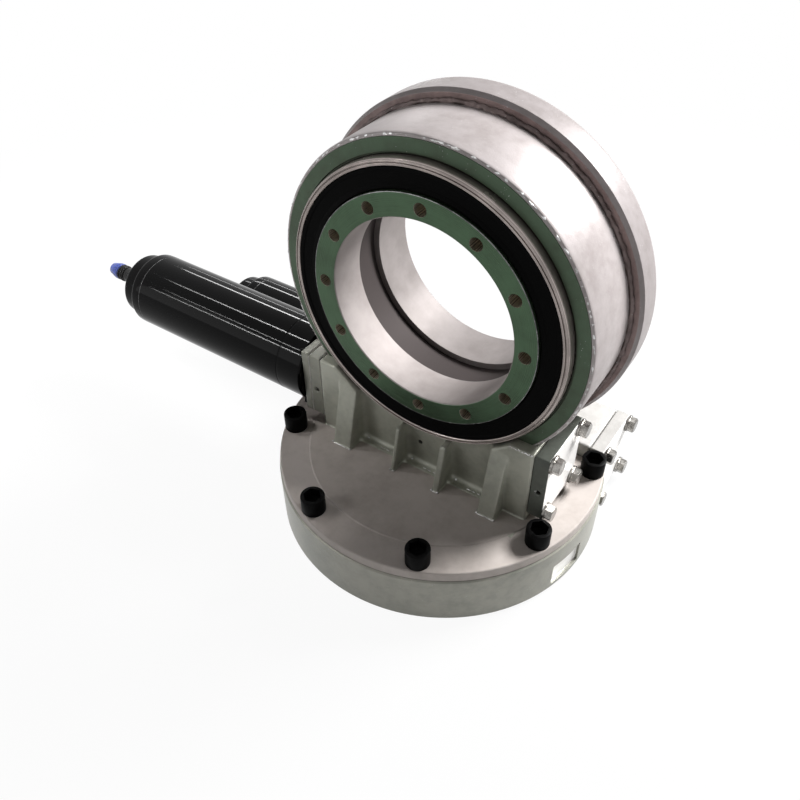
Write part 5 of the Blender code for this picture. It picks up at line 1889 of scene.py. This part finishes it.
class Works:
    """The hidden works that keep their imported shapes: worms, shafts, bearings and seals."""

    FINISHES = {
        "worm": WORM_STEEL,
        "drive_shaft": WORM_STEEL,
        "bearing": BEARING_STEEL,
        "race": BEARING_STEEL,
        "ball_row": BEARING_STEEL,
        "seal": SEAL_RUBBER,
    }

    def build(self) -> None:
        """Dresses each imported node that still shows."""
        for name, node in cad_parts.items():
            if node.hide_render:
                continue
            finish = next((f for word, f in self.FINISHES.items() if word in name), HOUSING_PAINT)
            if not node.material_slots:
                node.data.materials.append(finish.material())
            for place in node.material_slots:
                place.material = finish.material()
            LOG.info("%s: packed shape, %s", name, finish.name)


# Studio


@dataclass
class Lamp:
    """A soft area lamp that faces a point."""

    name: str
    place: Point
    aim: Point
    size: tuple[float, float]
    power: float
    spread: float = 180.0

    def light(self) -> None:
        """Puts the lamp in the scene."""
        data = bpy.data.lights.new(self.name, "AREA")
        data.shape = "RECTANGLE"
        data.size, data.size_y = self.size
        data.energy = self.power
        data.spread = math.radians(self.spread)
        lamp = bpy.data.objects.new(self.name, data)
        lamp.location = self.place
        away = Vector(self.place) - Vector(self.aim)
        lamp.rotation_euler = away.to_track_quat("Z", "Y").to_euler()
        bpy.context.scene.collection.objects.link(lamp)


@dataclass
class Studio:
    """Camera, floor, lamps and world."""

    eye: Point = (0.3042, -0.5178, 0.6746)
    right: Point = (0.8271, 0.5620, -0.0078)
    down: Point = (0.3731, -0.5594, -0.7401)
    forward: Point = (-0.4203, 0.6093, -0.6724)
    lens: float = 35.965
    lamps: tuple[Lamp, ...] = (
        Lamp("rear_right_window", (0.76, 1.15, 1.30), (0.0, -0.05, 0.15), (0.65, 0.65), 84.0),
        Lamp("right_fill", (1.5, -0.25, 0.40), (0.0, 0.0, 0.15), (1.0, 1.0), 1.0),
        Lamp("top_fill", (0.0, 0.6, 1.6), (0.0, 0.0, 0.2), (1.0, 0.8), 1.0),
        Lamp("low_strip", (-1.12, 1.164, 0.359), (-1.12, -0.012, 0.1215), (0.58, 0.03), 0.6, 92.0),
        Lamp("rear_strip", (-1.12, 0.946, 0.844), (-1.12, -0.012, 0.1215), (0.58, 0.06), 4.6, 92.0),
        Lamp("top_strip", (-1.12, -0.169, 1.311), (-1.12, -0.012, 0.1215), (0.58, 0.022), 5.5, 92.0),
        Lamp("front_strip", (-1.12, -0.785, 1.039), (-1.12, -0.012, 0.1215), (0.58, 0.014), 2.0, 92.0),
        Lamp("front_low_strip", (-1.15, -0.952, 0.867), (-1.15, -0.012, 0.1215), (0.64, 0.018), 4.0, 92.0),
        Lamp("front_fill", (-1.1, -1.3, 0.7), (0.0, 0.0, 0.15), (1.0, 0.8), 3.2),
    )

    def camera(self) -> None:
        """The camera at the photograph's place."""
        data = bpy.data.cameras.new("photo_camera")
        data.lens = self.lens
        data.sensor_width = 36.0
        data.clip_start = 0.01
        camera = bpy.data.objects.new("photo_camera", data)
        columns = [Vector(self.right), -Vector(self.down), -Vector(self.forward), Vector(self.eye)]
        camera.matrix_world = Matrix(
            [[column[row] for column in columns] for row in range(3)] + [[0.0, 0.0, 0.0, 1.0]]
        )
        bpy.context.scene.collection.objects.link(camera)
        bpy.context.scene.camera = camera

    def floor(self) -> None:
        """A pale floor that keeps the drive's shadow."""
        sheet = Solid()
        bmesh.ops.create_grid(sheet.bm, x_segments=1, y_segments=1, size=6.0)
        sheet.moved(Matrix.Translation((0, 0, -0.0005)))
        floor = sheet.as_object("studio_floor")
        graph = Graph(bpy.data.materials.new("floor_white"))
        light = graph.node("ShaderNodeBsdfDiffuse", {}, {"Color": grey(0.62)})
        glow = graph.node("ShaderNodeEmission", {}, {"Color": grey(1.0), "Strength": 1.0})
        far = graph.from_axis(graph.place(), Axis.UP, (0.0, 0.0, 0.0)).between(0.45, 1.2)
        share = graph.seen() * (0.94 + 0.06 * far)
        graph.end(graph.node("ShaderNodeMixShader", {}, {0: share, 1: light, 2: glow}))
        floor.data.materials.append(graph.owner)

    def world(self) -> None:
        """White where the camera or a reflection sees it, and dim elsewhere."""
        bpy.context.scene.world = bpy.data.worlds.new("studio_world")
        graph = Graph(bpy.context.scene.world)
        seen = graph.seen()
        dim = graph.node("ShaderNodeBackground", {}, {"Color": grey(1.0), "Strength": 0.07})
        white = graph.node("ShaderNodeBackground", {}, {"Color": grey(1.0), "Strength": 1.0})
        mix = graph.node("ShaderNodeMixShader", {}, {0: seen, 1: dim, 2: white})
        graph.end(mix, "ShaderNodeOutputWorld")

    def build(self) -> None:
        """Sets the studio up."""
        bpy.context.scene.view_settings.view_transform = "Standard"
        self.camera()
        self.floor()
        self.world()
        for lamp in self.lamps:
            lamp.light()
        LOG.info("studio: %d lamps", len(self.lamps))


def main() -> None:
    """Builds the studio and the drive."""
    logging.basicConfig(level=logging.INFO, format="%(name)s %(message)s")
    Studio().build()
    for assembly in (
        UprightDrum(),
        WormHousing(),
        LowerDrum(),
        UprightRing(),
        BaseRing(),
        FlangeBolts(),
        Plates("elevation", PLATE_PAINT, COVER_SHADE_PAINT),
        Plates("azimuth", BLOCK_PAINT, BLOCK_PAINT),
        Gearmotor("elevation"),
        Gearmotor("azimuth"),
        Works(),
    ):
        assembly.build()


if __name__ == "__main__":
    main()
